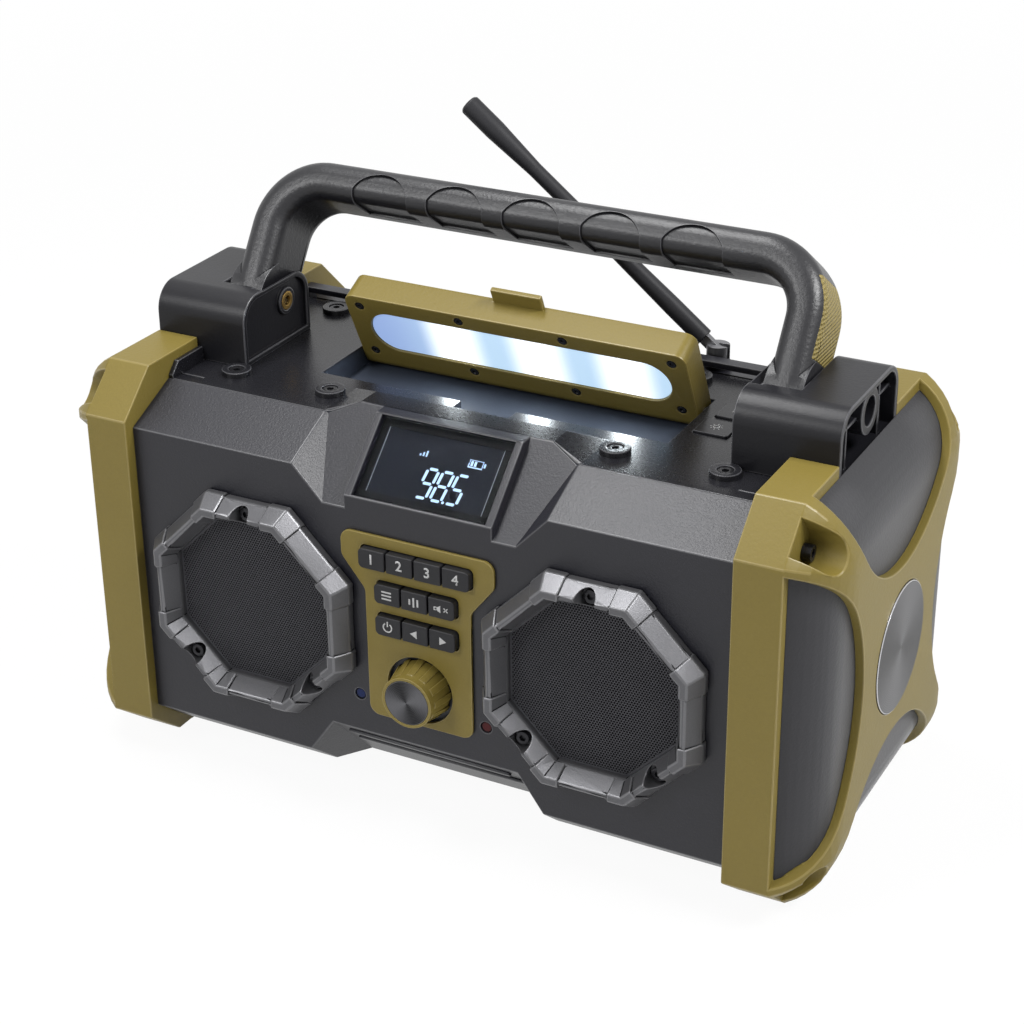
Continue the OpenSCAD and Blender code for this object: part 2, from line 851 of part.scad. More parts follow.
module end_windows(x0) {
  for (y = [-1, 1]) translate([0, y * (side_window_gap + side_window_r), centre_h]) rod_x(x0, big / 2, side_window_r, $fn = 96);
  for (z = [-1, 1]) translate([0, 0, centre_h + z * (top_window_gap + top_window_r)]) rod_x(x0, big / 2, top_window_r, $fn = 96);
}

module bracket_room() {
  translate([half_w - 1, -bracket_d / 2 - seat, top_z]) cube([band_w + 1 + eps, bracket_d + 2 * seat, big]);
}

module right_frame() {
  difference() {
    pillow(0, half_w);
    difference() {
      union() {
        along_x(half_w - 1, band_x + 1) octagon(ring_t);
        pillow(frame_t, band_x);
      }
      for (c = corners) pocket_shape(c, pocket_wall, half_w - 2, end_x + 1);
    }
    end_windows(band_x);
    for (c = corners) pocket_shape(c, 0, band_x, big / 2);
    for (side = [-1, 1]) at_end_screws(side) rod_x(half_w - 1, band_x + 1, screw_r + seat);
    translate([0, 0, centre_h]) rod_x(end_x + disc_proud - disc_t, end_x + 1, disc_dia / 2 + seat);
    bracket_room();
    at_right_feet() translate([0, 0, low_z - eps]) cylinder(h = foot_sink + seat, r = foot_dia / 2 + seat);
  }
}

module end_frame_right() { color(olive) placed() right_frame(); }
module end_frame_left() { color(olive) placed() mirror([1, 0, 0]) right_frame(); }

module right_panel() {
  difference() {
    pillow(frame_t + seat, band_x);
    pillow(frame_t + panel_skin, band_x - 1);
    for (c = corners) pocket_shape(c, pocket_wall + seat, band_x - 1, big / 2);
  }
}

module end_panel_right() { color(soft_grey) placed() right_panel(); }
module end_panel_left() { color(soft_grey) placed() mirror([1, 0, 0]) right_panel(); }

module right_disc() {
  translate([0, 0, centre_h]) rod_x(end_x + disc_proud - disc_t, end_x + disc_proud, disc_dia / 2);
}

module end_disc_right() { color(steel) placed() right_disc(); }
module end_disc_left() { color(steel) placed() mirror([1, 0, 0]) right_disc(); }

end_head_r = 3.5;
end_head_h = 4;

module end_screws() {
  color(shell_black) placed() mirrored() for (side = [-1, 1]) at_end_screws(side) difference() {
    union() {
      rod_x(band_x, band_x + end_head_h, end_head_r);
      rod_x(half_w - post_len + 2, band_x + 1, screw_r);
    }
    translate([band_x + end_head_h - 2, 0, 0]) rotate([0, 90, 0]) cylinder(h = 3, r = 1.8, $fn = 6);
  }
}

module at_right_feet() {
  for (y = [-1, 1]) translate([half_w + band_w / 2, y * (frame_d / 2 - facet_d - foot_dia), 0]) children();
}

module rubber_feet() {
  color(satin_black) placed() mirrored() at_right_feet() {
    cylinder(h = foot_h + foot_sink, r = foot_dia / 2);
  }
}

// Speakers

cone_r = 35;
grille_half = min(grille_w, bezel_w - 2 * band_least) / 2;
bezel_band = bezel_w / 2 - grille_half;
ridge_w = bezel_band * 4 / 21;
ridge_out = bezel_band * 9 / 21;
bezel_floor = 3;
sleeve_proud = 0.8;

function across(w) = w / 2 / cos(22.5);

// An octagonal solid of revolution in eight flats: half widths and heights from the front face outwards
module octo(points) {
  last = len(points) - 1;
  intersection_for(a = [0 : 45 : 135]) rotate([0, a, 0]) linear_extrude(2 * bezel_w, center = true) polygon([
    for (p = points) [p[0], -p[1]],
    for (k = [last : -1 : 0]) [-points[k][0], -points[k][1]]
  ]);
}

ridge_outer = bezel_w / 2 - ridge_out;
ridge_inner = ridge_outer - ridge_w;
sleeve_foot = 0.6;
sleeve_step = 0.8;
inner_slope = (ridge_inner - grille_half) / (bezel_h - bezel_floor);

module bezel_ring() {
  difference() {
    octo([[bezel_w / 2, 0], [bezel_w / 2, skirt_h], [ridge_outer, bezel_h]]);
    octo([[grille_half, -1], [grille_half, bezel_floor], [ridge_inner + inner_slope, bezel_h + 1]]);
  }
}

// The fuller ring that the corner sleeves are cut from
module sleeve_ring() {
  g = sleeve_proud;
  foot = bezel_floor + sleeve_step;
  difference() {
    octo([[bezel_w / 2 + g, sleeve_foot], [bezel_w / 2 + g, skirt_h], [ridge_outer + g, bezel_h + g]]);
    octo([
      [grille_half + 1.2, -1], [grille_half + 1.2, foot],
      [grille_half + inner_slope * sleeve_step - g, foot], [ridge_inner - g + inner_slope, bezel_h + g + 1]
    ]);
  }
}

bezel_screw_angles = [90, 225, 315];
bezel_screw_ring = grille_half + bezel_band * 10 / 21;
pocket_r = bezel_band * 8.8 / 21;
bezel_head_r = 3;
bezel_shank_r = 1.5;

module at_bezel_screws() {
  for (a = bezel_screw_angles) translate([bezel_screw_ring * cos(a), 0, bezel_screw_ring * sin(a)]) children();
}

module bezel() {
  difference() {
    union() {
      bezel_ring();
      difference() {
        sleeve_ring();
        for (a = [0 : 45 : 315]) rotate([0, -a, 0])
          translate([0, -bezel_h - 5, sleeve_len - bezel_w / 2 * tan(22.5)])
            cube([bezel_w, bezel_h + 6, bezel_w * tan(22.5) - 2 * sleeve_len]);
      }
    }
    at_bezel_screws() {
      rod_y(-bezel_h - 5, -bezel_floor + 0.5, pocket_r);
      rod_y(-bezel_floor, 1, bezel_shank_r + seat);
    }
  }
}

module at_speaker(side) {
  translate([side * speaker_x, front_y, centre_h]) children();
}

module speaker_bezel_left() { color(gunmetal) placed() at_speaker(-1) bezel(); }
module speaker_bezel_right() { color(gunmetal) placed() at_speaker(1) bezel(); }

module bezel_screws() {
  color(shell_black) placed() for (side = [-1, 1]) at_speaker(side) at_bezel_screws() difference() {
    union() {
      rod_y(-bezel_floor - 1.8, -bezel_floor + 0.5, bezel_head_r);
      rod_y(-bezel_floor, 0, bezel_shank_r);
    }
    rod_y(-bezel_floor - 3, -bezel_floor - 0.6, bezel_shank_r, $fn = 6);
  }
}

// Perforated grille in an octagon, with a hole only where it lies clear of the rim
grille_rows = floor(grille_half / (grille_pitch * sqrt(3) / 2));
grille_reach = grille_half - 3;

function in_octagon(x, z, reach) = max(abs(x), abs(z), (abs(x) + abs(z)) / sqrt(2)) < reach;

module grille() {
  translate([0, -grille_t, 0]) rotate([-90, 0, 0]) linear_extrude(grille_t) difference() {
    rotate(22.5) circle(across(2 * grille_half - 2 * seat), $fn = 8);
    for (row = [-grille_rows : grille_rows], col = [-grille_rows : grille_rows]) {
      x = (col + (row % 2 == 0 ? 0 : 0.5)) * grille_pitch;
      z = row * grille_pitch * sqrt(3) / 2;
      if (in_octagon(x, z, grille_reach - grille_hole / 2)) translate([x, z]) circle(grille_hole / 2, $fn = 16);
    }
  }
}

module grille_left() { color(satin_black) placed() at_speaker(-1) grille(); }
module grille_right() { color(satin_black) placed() at_speaker(1) grille(); }

flange_t = 3;
rim_t = 2;
magnet_r = 30;
magnet_t = 14;
neck_r = 22;

// A driver's basket and magnet, open towards the cone
module driver() {
  translate([0, wall, 0]) rotate([-90, 0, 0]) rotate_extrude() polygon([
    [cone_r, 0], [driver_dia / 2, 0], [driver_dia / 2, flange_t], [cone_r + 3, flange_t],
    [neck_r + 3, driver_depth - magnet_t], [magnet_r, driver_depth - magnet_t], [magnet_r, driver_depth],
    [0, driver_depth], [0, driver_depth - magnet_t + 2], [neck_r, driver_depth - magnet_t - 2],
    [cone_r - 3, flange_t + 2], [cone_r - 3, rim_t], [cone_r, rim_t]
  ]);
}

module driver_left() { color(shell_black) placed() at_speaker(-1) driver(); }
module driver_right() { color(shell_black) placed() at_speaker(1) driver(); }

cone_deep = 17;
voice_r = 12;
paper_t = 1;

// A cone with its rolled surround and dust cap
module cone() {
  translate([0, wall, 0]) rotate([-90, 0, 0]) rotate_extrude() difference() {
    union() {
      polygon([
        [0, cone_deep - 2], [voice_r, cone_deep - 1], [cone_r - 5, 1], [cone_r - seat, 0],
        [cone_r - seat, rim_t], [cone_r - 3 - seat, rim_t], [cone_r - 5, rim_t + paper_t],
        [voice_r, cone_deep + paper_t], [voice_r, driver_depth - magnet_t - 1],
        [voice_r - 1, driver_depth - magnet_t - 1], [voice_r - 1, cone_deep + paper_t], [0, cone_deep + paper_t]
      ]);
      translate([cone_r - 6, 1.5]) circle(2, $fn = 24);
    }
    translate([-big, -big / 2]) square([big, big]);
  }
}

module cone_left() { color(satin_black) placed() at_speaker(-1) cone(); }
module cone_right() { color(satin_black) placed() at_speaker(1) cone(); }

// Control plate, keys and knob

plate_r = 5;

module plate_outline() {
  head = plate_h - plate_head_h;
  slope = 14;
  offset(r = plate_r) offset(delta = -plate_r) offset(r = -plate_r) offset(delta = plate_r) polygon([
    [-plate_half, 0], [plate_half, 0], [plate_half, head], [plate_top_half, head + slope],
    [plate_top_half, plate_h], [-plate_top_half, plate_h], [-plate_top_half, head + slope], [-plate_half, head]
  ]);
}

// Rows of keys from the top: how many keys, and their pitch
key_rows = [[4, number_pitch], [3, key_pitch], [3, key_pitch]];

module at_row(row) {
  cluster() translate([0, 0, plate_z + key_row_z - row * row_pitch]) children();
}

module control_plate() {
  color(olive) placed() difference() {
    cluster() translate([0, 0, plate_z]) along_y(plate_y, front_y) plate_outline();
    for (row = [0 : 2]) at_row(row) along_y(plate_y - 1, front_y + 1)
      rounded_rect(key_rows[row][0] * key_rows[row][1] - key_gap + 2 * slip, key_h + 2 * slip, key_r);
    at_knob() rod_y(plate_y - 1, front_y + 1, knob_well_dia / 2);
  }
}

key_gap = 0.8;
key_r = 2.2;
key_flange = 1.2;
key_flange_side = 1.1;

// A key of a row: a block through the plate and a flange behind it that holds it in
module key(row, col) {
  count = key_rows[row][0];
  pitch = key_rows[row][1];
  x = (col - (count - 1) / 2) * pitch;
  w = pitch - key_gap;
  color(shell_black) placed() at_row(row) translate([x, 0, 0]) {
    along_y(plate_y - key_proud, front_y + slip + eps) key_face(w, col == 0, col == count - 1);
    along_y(front_y + slip, front_y + slip + key_flange)
      square([w, key_h + 2 * key_flange_side], center = true);
  }
}

// A key's face, rounded on the side where its row ends
module key_face(w, first, last) {
  difference() {
    square([w, key_h], center = true);
    for (z = [-1, 1]) {
      if (first) translate([-w / 2, z * key_h / 2]) corner_bite(1, -z);
      if (last) translate([w / 2, z * key_h / 2]) corner_bite(-1, -z);
    }
  }
}

// What rounding takes off a corner whose body lies towards sx, sz
module corner_bite(sx, sz) {
  difference() {
    translate([sx * key_r / 2, sz * key_r / 2]) square(key_r + 2 * eps, center = true);
    translate([sx * key_r, sz * key_r]) circle(key_r);
  }
}

module key_1() { key(0, 0); }
module key_2() { key(0, 1); }
module key_3() { key(0, 2); }
module key_4() { key(0, 3); }
module key_mode() { key(1, 0); }
module key_tone() { key(1, 1); }
module key_mute() { key(1, 2); }
module key_power() { key(2, 0); }
module key_back() { key(2, 1); }
module key_forward() { key(2, 2); }

switch_y = front_y + slip + key_flange + key_travel + slip;

// The board behind the keys, with a switch for each
module key_board() {
  color([0.1, 0.3, 0.16]) placed() difference() {
    union() {
      cluster() translate([0, 0, plate_z + 3 + board_h / 2]) along_y(board_y, board_y + board_t)
        square([board_w, board_h], center = true);
      for (row = [0 : 2], col = [0 : key_rows[row][0] - 1]) at_row(row)
        translate([(col - (key_rows[row][0] - 1) / 2) * key_rows[row][1], 0, 0]) {
          along_y(board_y - 1.6, board_y + eps) square(5, center = true);
          rod_y(switch_y, board_y, 1.6);
        }
    }
    at_knob() rod_y(board_y - 1, board_y + board_t + 1, shaft_dia / 2 + slip);
  }
}

shaft_tip_y = knob_y + 4;
knob_back_y = front_y + well_deep - slip;

// The encoder on the board, its bush through the front wall
module encoder() {
  color(steel) placed() at_knob() difference() {
    union() {
      along_y(front_y + wall, board_y) square(13, center = true);
      rod_y(front_y - 1, front_y + wall + eps, bush_r);
    }
    rod_y(front_y - 2, board_y + 1, shaft_dia / 2 + run);
  }
}

module encoder_shaft() {
  color(steel) placed() at_knob() rod_y(shaft_tip_y, board_y, shaft_dia / 2);
}

rib_deep = 0.8;
cap_t = 1.2;
skirt_y = knob_y + 3.5;

module volume_knob() {
  color(olive) placed() at_knob() difference() {
    union() {
      translate([0, knob_back_y, 0]) rotate([90, 0, 0])
        cylinder(h = knob_back_y - knob_y, r1 = knob_dia / 2 - rib_deep, r2 = knob_face_dia / 2 - rib_deep);
      for (k = [0 : knob_ribs - 1]) rotate([0, k * 360 / knob_ribs, 0]) knob_rib();
      rod_y(knob_y, knob_y + 1.5, knob_face_dia / 2);
    }
    rod_y(knob_y - 1, knob_y + cap_t, cap_dia / 2 + seat);
    rod_y(shaft_tip_y - seat, knob_back_y + 1, shaft_dia / 2 + seat / 4);
    rod_y(front_y - 1 - slip, knob_back_y + 1, bush_r + slip);
  }
}

// One raised flute of the knob, a narrow wedge of a fuller cone
module knob_rib() {
  intersection() {
    translate([0, knob_back_y, 0]) rotate([90, 0, 0])
      cylinder(h = knob_back_y - skirt_y, r1 = knob_dia / 2, r2 = knob_face_dia / 2);
    translate([0, knob_y, -1.6]) cube([knob_dia, knob_back_y - knob_y, 3.2]);
  }
}

module knob_cap() {
  color([0.2, 0.2, 0.21]) placed() at_knob() rod_y(knob_y, knob_y + cap_t, cap_dia / 2);
}

module indicator(side) {
  placed() translate([side * indicator_x, 0, indicator_z]) {
    rod_y(front_y + 0.6, front_y + wall + 2, indicator_dia / 2);
    rod_y(front_y + wall, front_y + wall + 2, indicator_dia / 2 + 1);
  }
}

module indicator_left() { color([0.2, 0.3, 0.6]) indicator(-1); }
module indicator_right() { color([0.5, 0.15, 0.15]) indicator(1); }

// Display

module display_window() {
  color([0.05, 0.05, 0.07, 0.6]) placed() window_place()
    translate([0, 0, -window_sink - window_t]) window_slab(window_w, window_h, window_t);
}

module_t = 4;

// The display module hangs behind the lens on its own rim
module display_module() {
  color([0.1, 0.1, 0.12]) placed() window_place()
    translate([0, 0, -window_sink - window_t - module_t]) window_slab(window_w - 4 - 2 * slip, window_h - 4 - 2 * slip, module_t);
}

// Lamp: X along its hinge, Y away from the hinge, Z out of its back

module lamp_place() {
  translate([0, lamp_y, lamp_z]) rotate([180 - lamp_open, 0, 0]) mirror([0, 0, 1]) children();
}

lamp_r = 5;
lamp_half_t = lamp_t / 2;
pocket_deep = 5;
diffuser_t = 2;
diffuser_sink = 0.8;
diffuser_y = lamp_h * 0.5;
lamp_pin_len = 12;
led_places = [-31, 10, 51];

module lamp_face() {
  translate([-lamp_w / 2, 0]) square([lamp_w, lamp_h - lamp_r]);
  translate([-lamp_w / 2 + lamp_r, 0]) square([lamp_w - 2 * lamp_r, lamp_h]);
  for (x = [-1, 1]) translate([x * (lamp_w / 2 - lamp_r), lamp_h - lamp_r]) circle(lamp_r);
}

module lamp_housing() {
  color(olive) placed() lamp_place() difference() {
    union() {
      translate([0, 0, -lamp_half_t]) linear_extrude(lamp_t) lamp_face();
      rod_x(-lamp_w / 2, lamp_w / 2, lamp_half_t);
      latch_tab();
    }
    translate([0, diffuser_y, -lamp_half_t - eps]) linear_extrude(pocket_deep) stadium(diffuser_w, diffuser_h);
    for (x = [-1, 1]) translate([x * lamp_w / 2, 0, 0])
      rod_x(-lamp_pin_len + 2, lamp_pin_len, lamp_pin_dia / 2 + run);
    at_lamp_screws() {
      cylinder(h = 2 * lamp_screw_h, r = lamp_screw_r + seat, center = true);
      cylinder(h = lamp_t - 1.5, r = lamp_thread_r + seat);
    }
  }
}

// The tab that springs past the tub's edge, with a turned-up lip
module latch_tab() {
  translate([-tab_w / 2, lamp_h - 8, lamp_half_t - 2.5]) cube([tab_w, 8 + tab_len, 2.5]);
  translate([-tab_w / 2, lamp_h - 8, lamp_half_t - eps]) cube([tab_w, 2, 1.5]);
}

lamp_screw_r = 2;
lamp_screw_h = 1;
lamp_thread_r = 1;

module at_lamp_screws() {
  for (x = [-1, 1]) {
    for (y = [6, lamp_h - 6]) translate([x * (lamp_w / 2 - 7), y, -lamp_half_t]) children();
    for (y = [4.2, lamp_h - 4.2]) translate([x * (lamp_w / 2 - 7) / 3, y, -lamp_half_t]) children();
  }
}

module lamp_screws() {
  color(steel) placed() lamp_place() at_lamp_screws() difference() {
    union() {
      cylinder(h = lamp_screw_h, r = lamp_screw_r);
      cylinder(h = lamp_t - 2, r = lamp_thread_r);
    }
    translate([0, 0, -eps]) cylinder(h = 0.6, r = 0.9, $fn = 6);
  }
}

module lamp_diffuser() {
  color([0.9, 0.95, 1]) placed() lamp_place() translate([0, diffuser_y, -lamp_half_t + diffuser_sink])
    linear_extrude(diffuser_t) stadium(diffuser_w - 2 * seat, diffuser_h - 2 * seat);
}

module lamp_board() {
  color([0.95, 0.95, 0.9]) placed() lamp_place() translate([0, diffuser_y, -lamp_half_t + pocket_deep - 1.2]) {
    linear_extrude(1.2 - seat) stadium(diffuser_w - 4, diffuser_h - 6);
    for (x = led_places) translate([x - 2.5, -2.5, -0.8]) cube([5, 5, 0.8 + eps]);
  }
}

module lamp_pins() {
  color(steel) placed() for (x = [-1, 1]) translate([x * lamp_w / 2, lamp_y, lamp_z])
    rod_x(x > 0 ? -8 : -tub_gap - tub_wall, x > 0 ? tub_gap + tub_wall : 8, lamp_pin_dia / 2);
}

// Handle brackets

pivot_z = top_z + pivot_h;
leg_x = leg_span / 2;
bracket_x = leg_x - bracket_in;
slot_in = leg_x - grip_t / 2 - slip;
slot_out = leg_x + grip_t / 2 + slip;
cup_wall = 3;
cup_x = slot_out + cup_wall;
niche_x = slot_in - 1.6;
ring_r = 10;
ring_bore_r = 6.2;
bolt_seat_x = cup_x + 6;
rib_t = 1.4;
insert_r = 4.2;
insert_bore_r = 2.2;
thread_r = 2;
foot_r = grip_d / 2;

// A bracket's outline in Y and Z, drawn in by an inset
module bracket_outline(inset) {
  r = bracket_r - inset;
  half = bracket_d / 2 - inset;
  translate([-half, top_z + inset]) square([2 * half, bracket_h - 2 * inset - r]);
  translate([r - half, top_z + inset]) square([2 * (half - r), bracket_h - 2 * inset]);
  for (y = [-1, 1]) translate([y * (half - r), top_z + bracket_h - inset - r]) circle(r);
}

// The inner cheek's outline, whose upper rear corner is round too
module cheek_outline(inset) {
  r = bracket_r - inset;
  front = inset - bracket_d / 2;
  rear = cheek_d - bracket_d / 2 - inset;
  translate([front, top_z + inset]) square([rear - front, bracket_h - 2 * inset - r]);
  translate([front + r, top_z + inset]) square([rear - front - 2 * r, bracket_h - 2 * inset]);
  for (y = [front + r, rear - r]) translate([y, top_z + bracket_h - inset - r]) circle(r);
}

// The room that a leg sweeps through between its stop and upright
module leg_sweep() {
  r = foot_r + slip;
  reach = grip_reach;
  translate([pivot_y, pivot_z]) {
    circle(r);
    translate([-r, 0]) square([2 * r, reach]);
    rotate(-handle_lean) translate([-r, 0]) square([2 * r, reach]);
    polygon([[0, 0], [-r, reach], [r * cos(handle_lean) + reach * sin(handle_lean), reach * cos(handle_lean)]]);
  }
}

module right_bracket() {
  difference() {
    along_x(bracket_x, band_x) bracket_outline(0);
    along_x(slot_in, slot_out) leg_sweep();
    along_x(bracket_x - 1, niche_x) cheek_outline(bracket_wall);
    along_x(cup_x, band_x + 1) bracket_outline(bracket_wall);
    at_pivot() {
      rod_x(bracket_x - 1, band_x + 1, pivot_dia / 2 + seat);
      rod_x(bracket_x - 1, slot_in + eps, insert_r);
    }
    slot_mouth();
    translate([0, cheek_d - bracket_d / 2, 0]) cube([slot_out, big, big]);
    cheek_corner();
  }
  at_pivot() {
    difference() {
      rod_x(cup_x - eps, band_x - 1, ring_r);
      rod_x(cup_x - 1, band_x, pivot_dia / 2 + seat);
      rod_x(bolt_seat_x, band_x, ring_bore_r);
    }
    difference() {
      rod_x(bracket_x + 0.3, niche_x + eps, insert_r + 2);
      rod_x(bracket_x, niche_x + 1, insert_r);
    }
  }
  cup_ribs();
}

// What rounding takes off the inner cheek's upper rear corner
module cheek_corner() {
  translate([0, cheek_d - bracket_d / 2 - bracket_r, top_z + bracket_h - bracket_r]) difference() {
    cube([slot_in + eps, big, big]);
    rod_x(-1, big, bracket_r);
  }
}

// The rounded lip where the slot opens beside the leg
module slot_mouth() {
  translate([slot_in - 1, 0, top_z + bracket_h]) rotate([0, 45, 0]) cube([4, 2 * foot_r, 4], center = true);
}

// Stiffening ribs in the open outer end
module cup_ribs() {
  intersection() {
    difference() {
      union() {
        for (y = [-1, 1]) translate([cup_x - eps, y * 19 - rib_t / 2, top_z]) cube([band_x - cup_x - 3, rib_t, bracket_h]);
        translate([cup_x - eps, -bracket_d / 2, pivot_z - rib_t / 2]) cube([band_x - cup_x - 3, bracket_d, rib_t]);
      }
      at_pivot() rod_x(cup_x - 1, band_x, ring_r - 0.5);
    }
    along_x(cup_x - 1, band_x) bracket_outline(1);
  }
}

module at_pivot() {
  translate([0, pivot_y, pivot_z]) children();
}

module bracket_right() { color(shell_black) placed() right_bracket(); }
module bracket_left() { color(shell_black) placed() mirror([1, 0, 0]) right_bracket(); }

bolt_head_h = 5;

module pivot_bolts() {
  color(steel) placed() mirrored() at_pivot() difference() {
    union() {
      rod_x(bolt_seat_x, bolt_seat_x + bolt_head_h, ring_bore_r - 0.4);
      rod_x(slot_in - 0.2, bolt_seat_x + 1, pivot_dia / 2);
      rod_x(niche_x - 0.5, slot_in, thread_r);
    }
    translate([bolt_seat_x + bolt_head_h - 2.5, 0, 0]) rotate([0, 90, 0]) cylinder(h = 4, r = 2.6, $fn = 6);
  }
}

module brass_inserts() {
  color(brass) placed() mirrored() at_pivot() difference() {
    rod_x(bracket_x + 0.2, slot_in - 0.3, insert_r);
    rod_x(bracket_x - 1, slot_in + 1, insert_bore_r);
  }
}

// Handle: X along the grip, Z from the pivots towards the grip, Y across its plane

module handle_place() {
  translate([0, pivot_y, pivot_z]) rotate([-handle_lean, 0, 0]) children();
}

module grip_section(shrink) {
  rounded_rect(grip_t - 2 * shrink, grip_d - 2 * shrink, grip_r - shrink);
}

module grip_bar(shrink) {
  translate([bend_r - leg_x, 0, grip_reach]) rotate([0, 90, 0]) linear_extrude(2 * (leg_x - bend_r)) grip_section(shrink);
}

module right_leg() {
  translate([leg_x, 0, 0]) linear_extrude(grip_reach - bend_r) grip_section(0);
  translate([leg_x - bend_r, 0, grip_reach - bend_r]) rotate([90, 0, 0]) rotate_extrude(angle = 90)
    translate([bend_r, 0]) grip_section(0);
  rod_x(leg_x - grip_t / 2, leg_x + grip_t / 2, foot_r);
}

pad_low = 14;
pad_w = 26;
pad_bend = 35;

// The room of a leg's pad, from just over the bracket into the bend
module pad_room(gap) {
  inner = leg_x + grip_t / 2 - pad_t;
  translate([inner, -pad_w / 2 - gap, pad_low]) cube([pad_t + 1, pad_w + 2 * gap, grip_reach - bend_r - pad_low + eps]);
  translate([leg_x - bend_r, 0, grip_reach - bend_r]) rotate([90, 0, 0]) rotate_extrude(angle = pad_bend)
    translate([bend_r + grip_t / 2 - pad_t, -pad_w / 2 - gap]) square([pad_t + 1, pad_w + 2 * gap]);
}

module handle() {
  color(shell_black) placed() handle_place() difference() {
    union() {
      grip_bar(0);
      mirrored() right_leg();
    }
    mirrored() pad_room(seat);
    mirrored() rod_x(leg_x - grip_t, leg_x + grip_t, pivot_dia / 2 + run);
    for (k = [-2 : 2]) translate([k * finger_pitch, 0, 0]) finger_hollow();
  }
}

finger_top = 4;

// An arch-topped hollow round the front and the underside of the grip
module finger_hollow() {
  intersection() {
    difference() {
      grip_bar(-1);
      grip_bar(finger_deep);
    }
    along_y(-grip_d, 4) {
      translate([-finger_w / 2, grip_reach - grip_t]) square([finger_w, grip_t + finger_top - finger_w / 4]);
      translate([0, grip_reach + finger_top - finger_w / 4]) intersection() {
        translate([0, -finger_w / 4]) circle(finger_w / 2 * 1.118);
        square([finger_w, finger_w], center = true);
      }
    }
  }
}

module handle_pads() {
  color(olive) placed() handle_place() mirrored() intersection() {
    pad_room(0);
    right_leg();
  }
}

// Antenna

antenna_y = ledge_y + ledge_d + trough_d / 2;
antenna_z = trough_z + antenna_rise;
collar_r = 6;
base_r = 6.2;
base_h = 2.5;
stem_r = 2.5;
fork_gap = 3.2;
pin_r = 1.25;
tongue_r = 3.6;
tongue_len = 13;

module at_antenna() {
  translate([antenna_x, antenna_y, trough_z]) children();
}

// Boss under the trough that takes the antenna's foot
module antenna_seat() {
  at_antenna() translate([0, 0, -8]) cylinder(h = 8 - eps, r = base_r);
}

module antenna_hole() {
  at_antenna() translate([0, 0, -10]) cylinder(h = 12, r = stem_r + 1.5 + seat);
}

module antenna_base() {
  color(steel) placed() at_antenna() difference() {
    union() {
      cylinder(h = base_h, r = base_r);
      translate([0, 0, -7]) cylinder(h = 8, r = stem_r + 1.5);
    }
    translate([0, 0, -8]) cylinder(h = 12, r = stem_r + run);
  }
}

fork_top = antenna_rise + tongue_r;

// The swivelling fork on its stem, with the cross pin
module antenna_knuckle() {
  color(steel) placed() at_antenna() difference() {
    union() {
      translate([0, 0, -6]) cylinder(h = base_h + 7, r = stem_r);
      translate([0, 0, base_h + slip]) cylinder(h = fork_top - base_h - slip, r = collar_r - 0.8);
    }
    translate([-collar_r - 1, -fork_gap / 2, base_h + slip + 0.8]) cube([2 * collar_r + 2, fork_gap, fork_top]);
  }
  color(steel) placed() at_antenna() translate([0, 0, antenna_rise])
    rod_y(-collar_r * 0.7, collar_r * 0.7, pin_r);
}

// The rod's own frame: Z along the antenna from its pivot
module antenna_line() {
  translate([antenna_x, antenna_y, antenna_z]) rotate([0, antenna_lift - 90, 0]) children();
}

module antenna_tongue() {
  color(steel) placed() antenna_line() difference() {
    intersection() {
      union() {
        translate([0, 0, 0]) rod_y(-fork_gap / 2 + slip / 2, fork_gap / 2 - slip / 2, tongue_r - 0.6);
        translate([-2.6, -fork_gap / 2 + slip / 2, 0]) cube([5.2, fork_gap - slip, tongue_len]);
      }
      translate([-10, -10, -10]) cube([20, 20, 40]);
    }
    rod_y(-5, 5, pin_r + run);
  }
}

waist_from_tip = 42;
tip_len = 17;
rubber_from = 8.5;

module antenna_rod() {
  color(shell_black) placed() antenna_line() difference() {
    rotate_extrude() polygon([
      [0, rubber_from], [root_dia / 2, rubber_from], [root_dia / 2, rubber_from + 20], [waist_dia / 2, antenna_len / 2],
      [waist_dia / 2, antenna_len - waist_from_tip], [tip_dia / 2, antenna_len - tip_len],
      [tip_dia / 2, antenna_len - 1], [tip_dia / 2 - 1, antenna_len], [0, antenna_len]
    ]);
    translate([-2.6 - seat, -fork_gap / 2 + slip / 2 - seat, 0]) cube([5.2 + 2 * seat, fork_gap - slip + 2 * seat, tongue_len + seat]);
  }
}

// Battery and main board

pack_w = 76;
pack_d = 40;
pack_h = 58;
pack_y = 38;
pack_z = under_z + wall;

module battery_pack() {
  color([0.15, 0.25, 0.5]) placed() translate([0, pack_y, pack_z + pack_h / 2]) {
    for (x = [-1, 0, 1], z = [-1, 0, 1]) translate([x * (pack_w / 4), 0, z * (pack_h / 3.2)]) rod_y(-pack_d / 2, pack_d / 2, 9.2);
    along_y(-pack_d / 2 + 2, pack_d / 2 - 2) rounded_rect(pack_w, pack_h, 4);
  }
}

// A low fence on the floor that holds the battery
module pack_cradle() {
  for (x = [-1, 1]) translate([x * (pack_w / 2 + 1.5 + seat) - 1.5, pack_y - pack_d / 2 + 2, pack_z - eps]) cube([3, pack_d - 4, 14]);
}

main_w = 150;
main_h = 40;
main_z = 118;
main_y = -front_y - wall - 12;

module main_board() {
  color([0.1, 0.3, 0.16]) placed() translate([0, 0, main_z]) {
    along_y(main_y - board_t, main_y) square([main_w, main_h], center = true);
    for (x = [-0.32, -0.1, 0.14, 0.34]) along_y(main_y - board_t - 6, main_y - board_t + eps)
      translate([x * main_w, main_h / 10]) square([main_w / 9, main_h * 0.3], center = true);
  }
}

module main_board_posts() {
  for (x = [-1, 1], z = [-1, 1]) translate([x * (main_w / 2 - 6), 0, main_z + z * (main_h / 2 - 6)])
    rod_y(main_y, -front_y - wall + eps, 4);
}

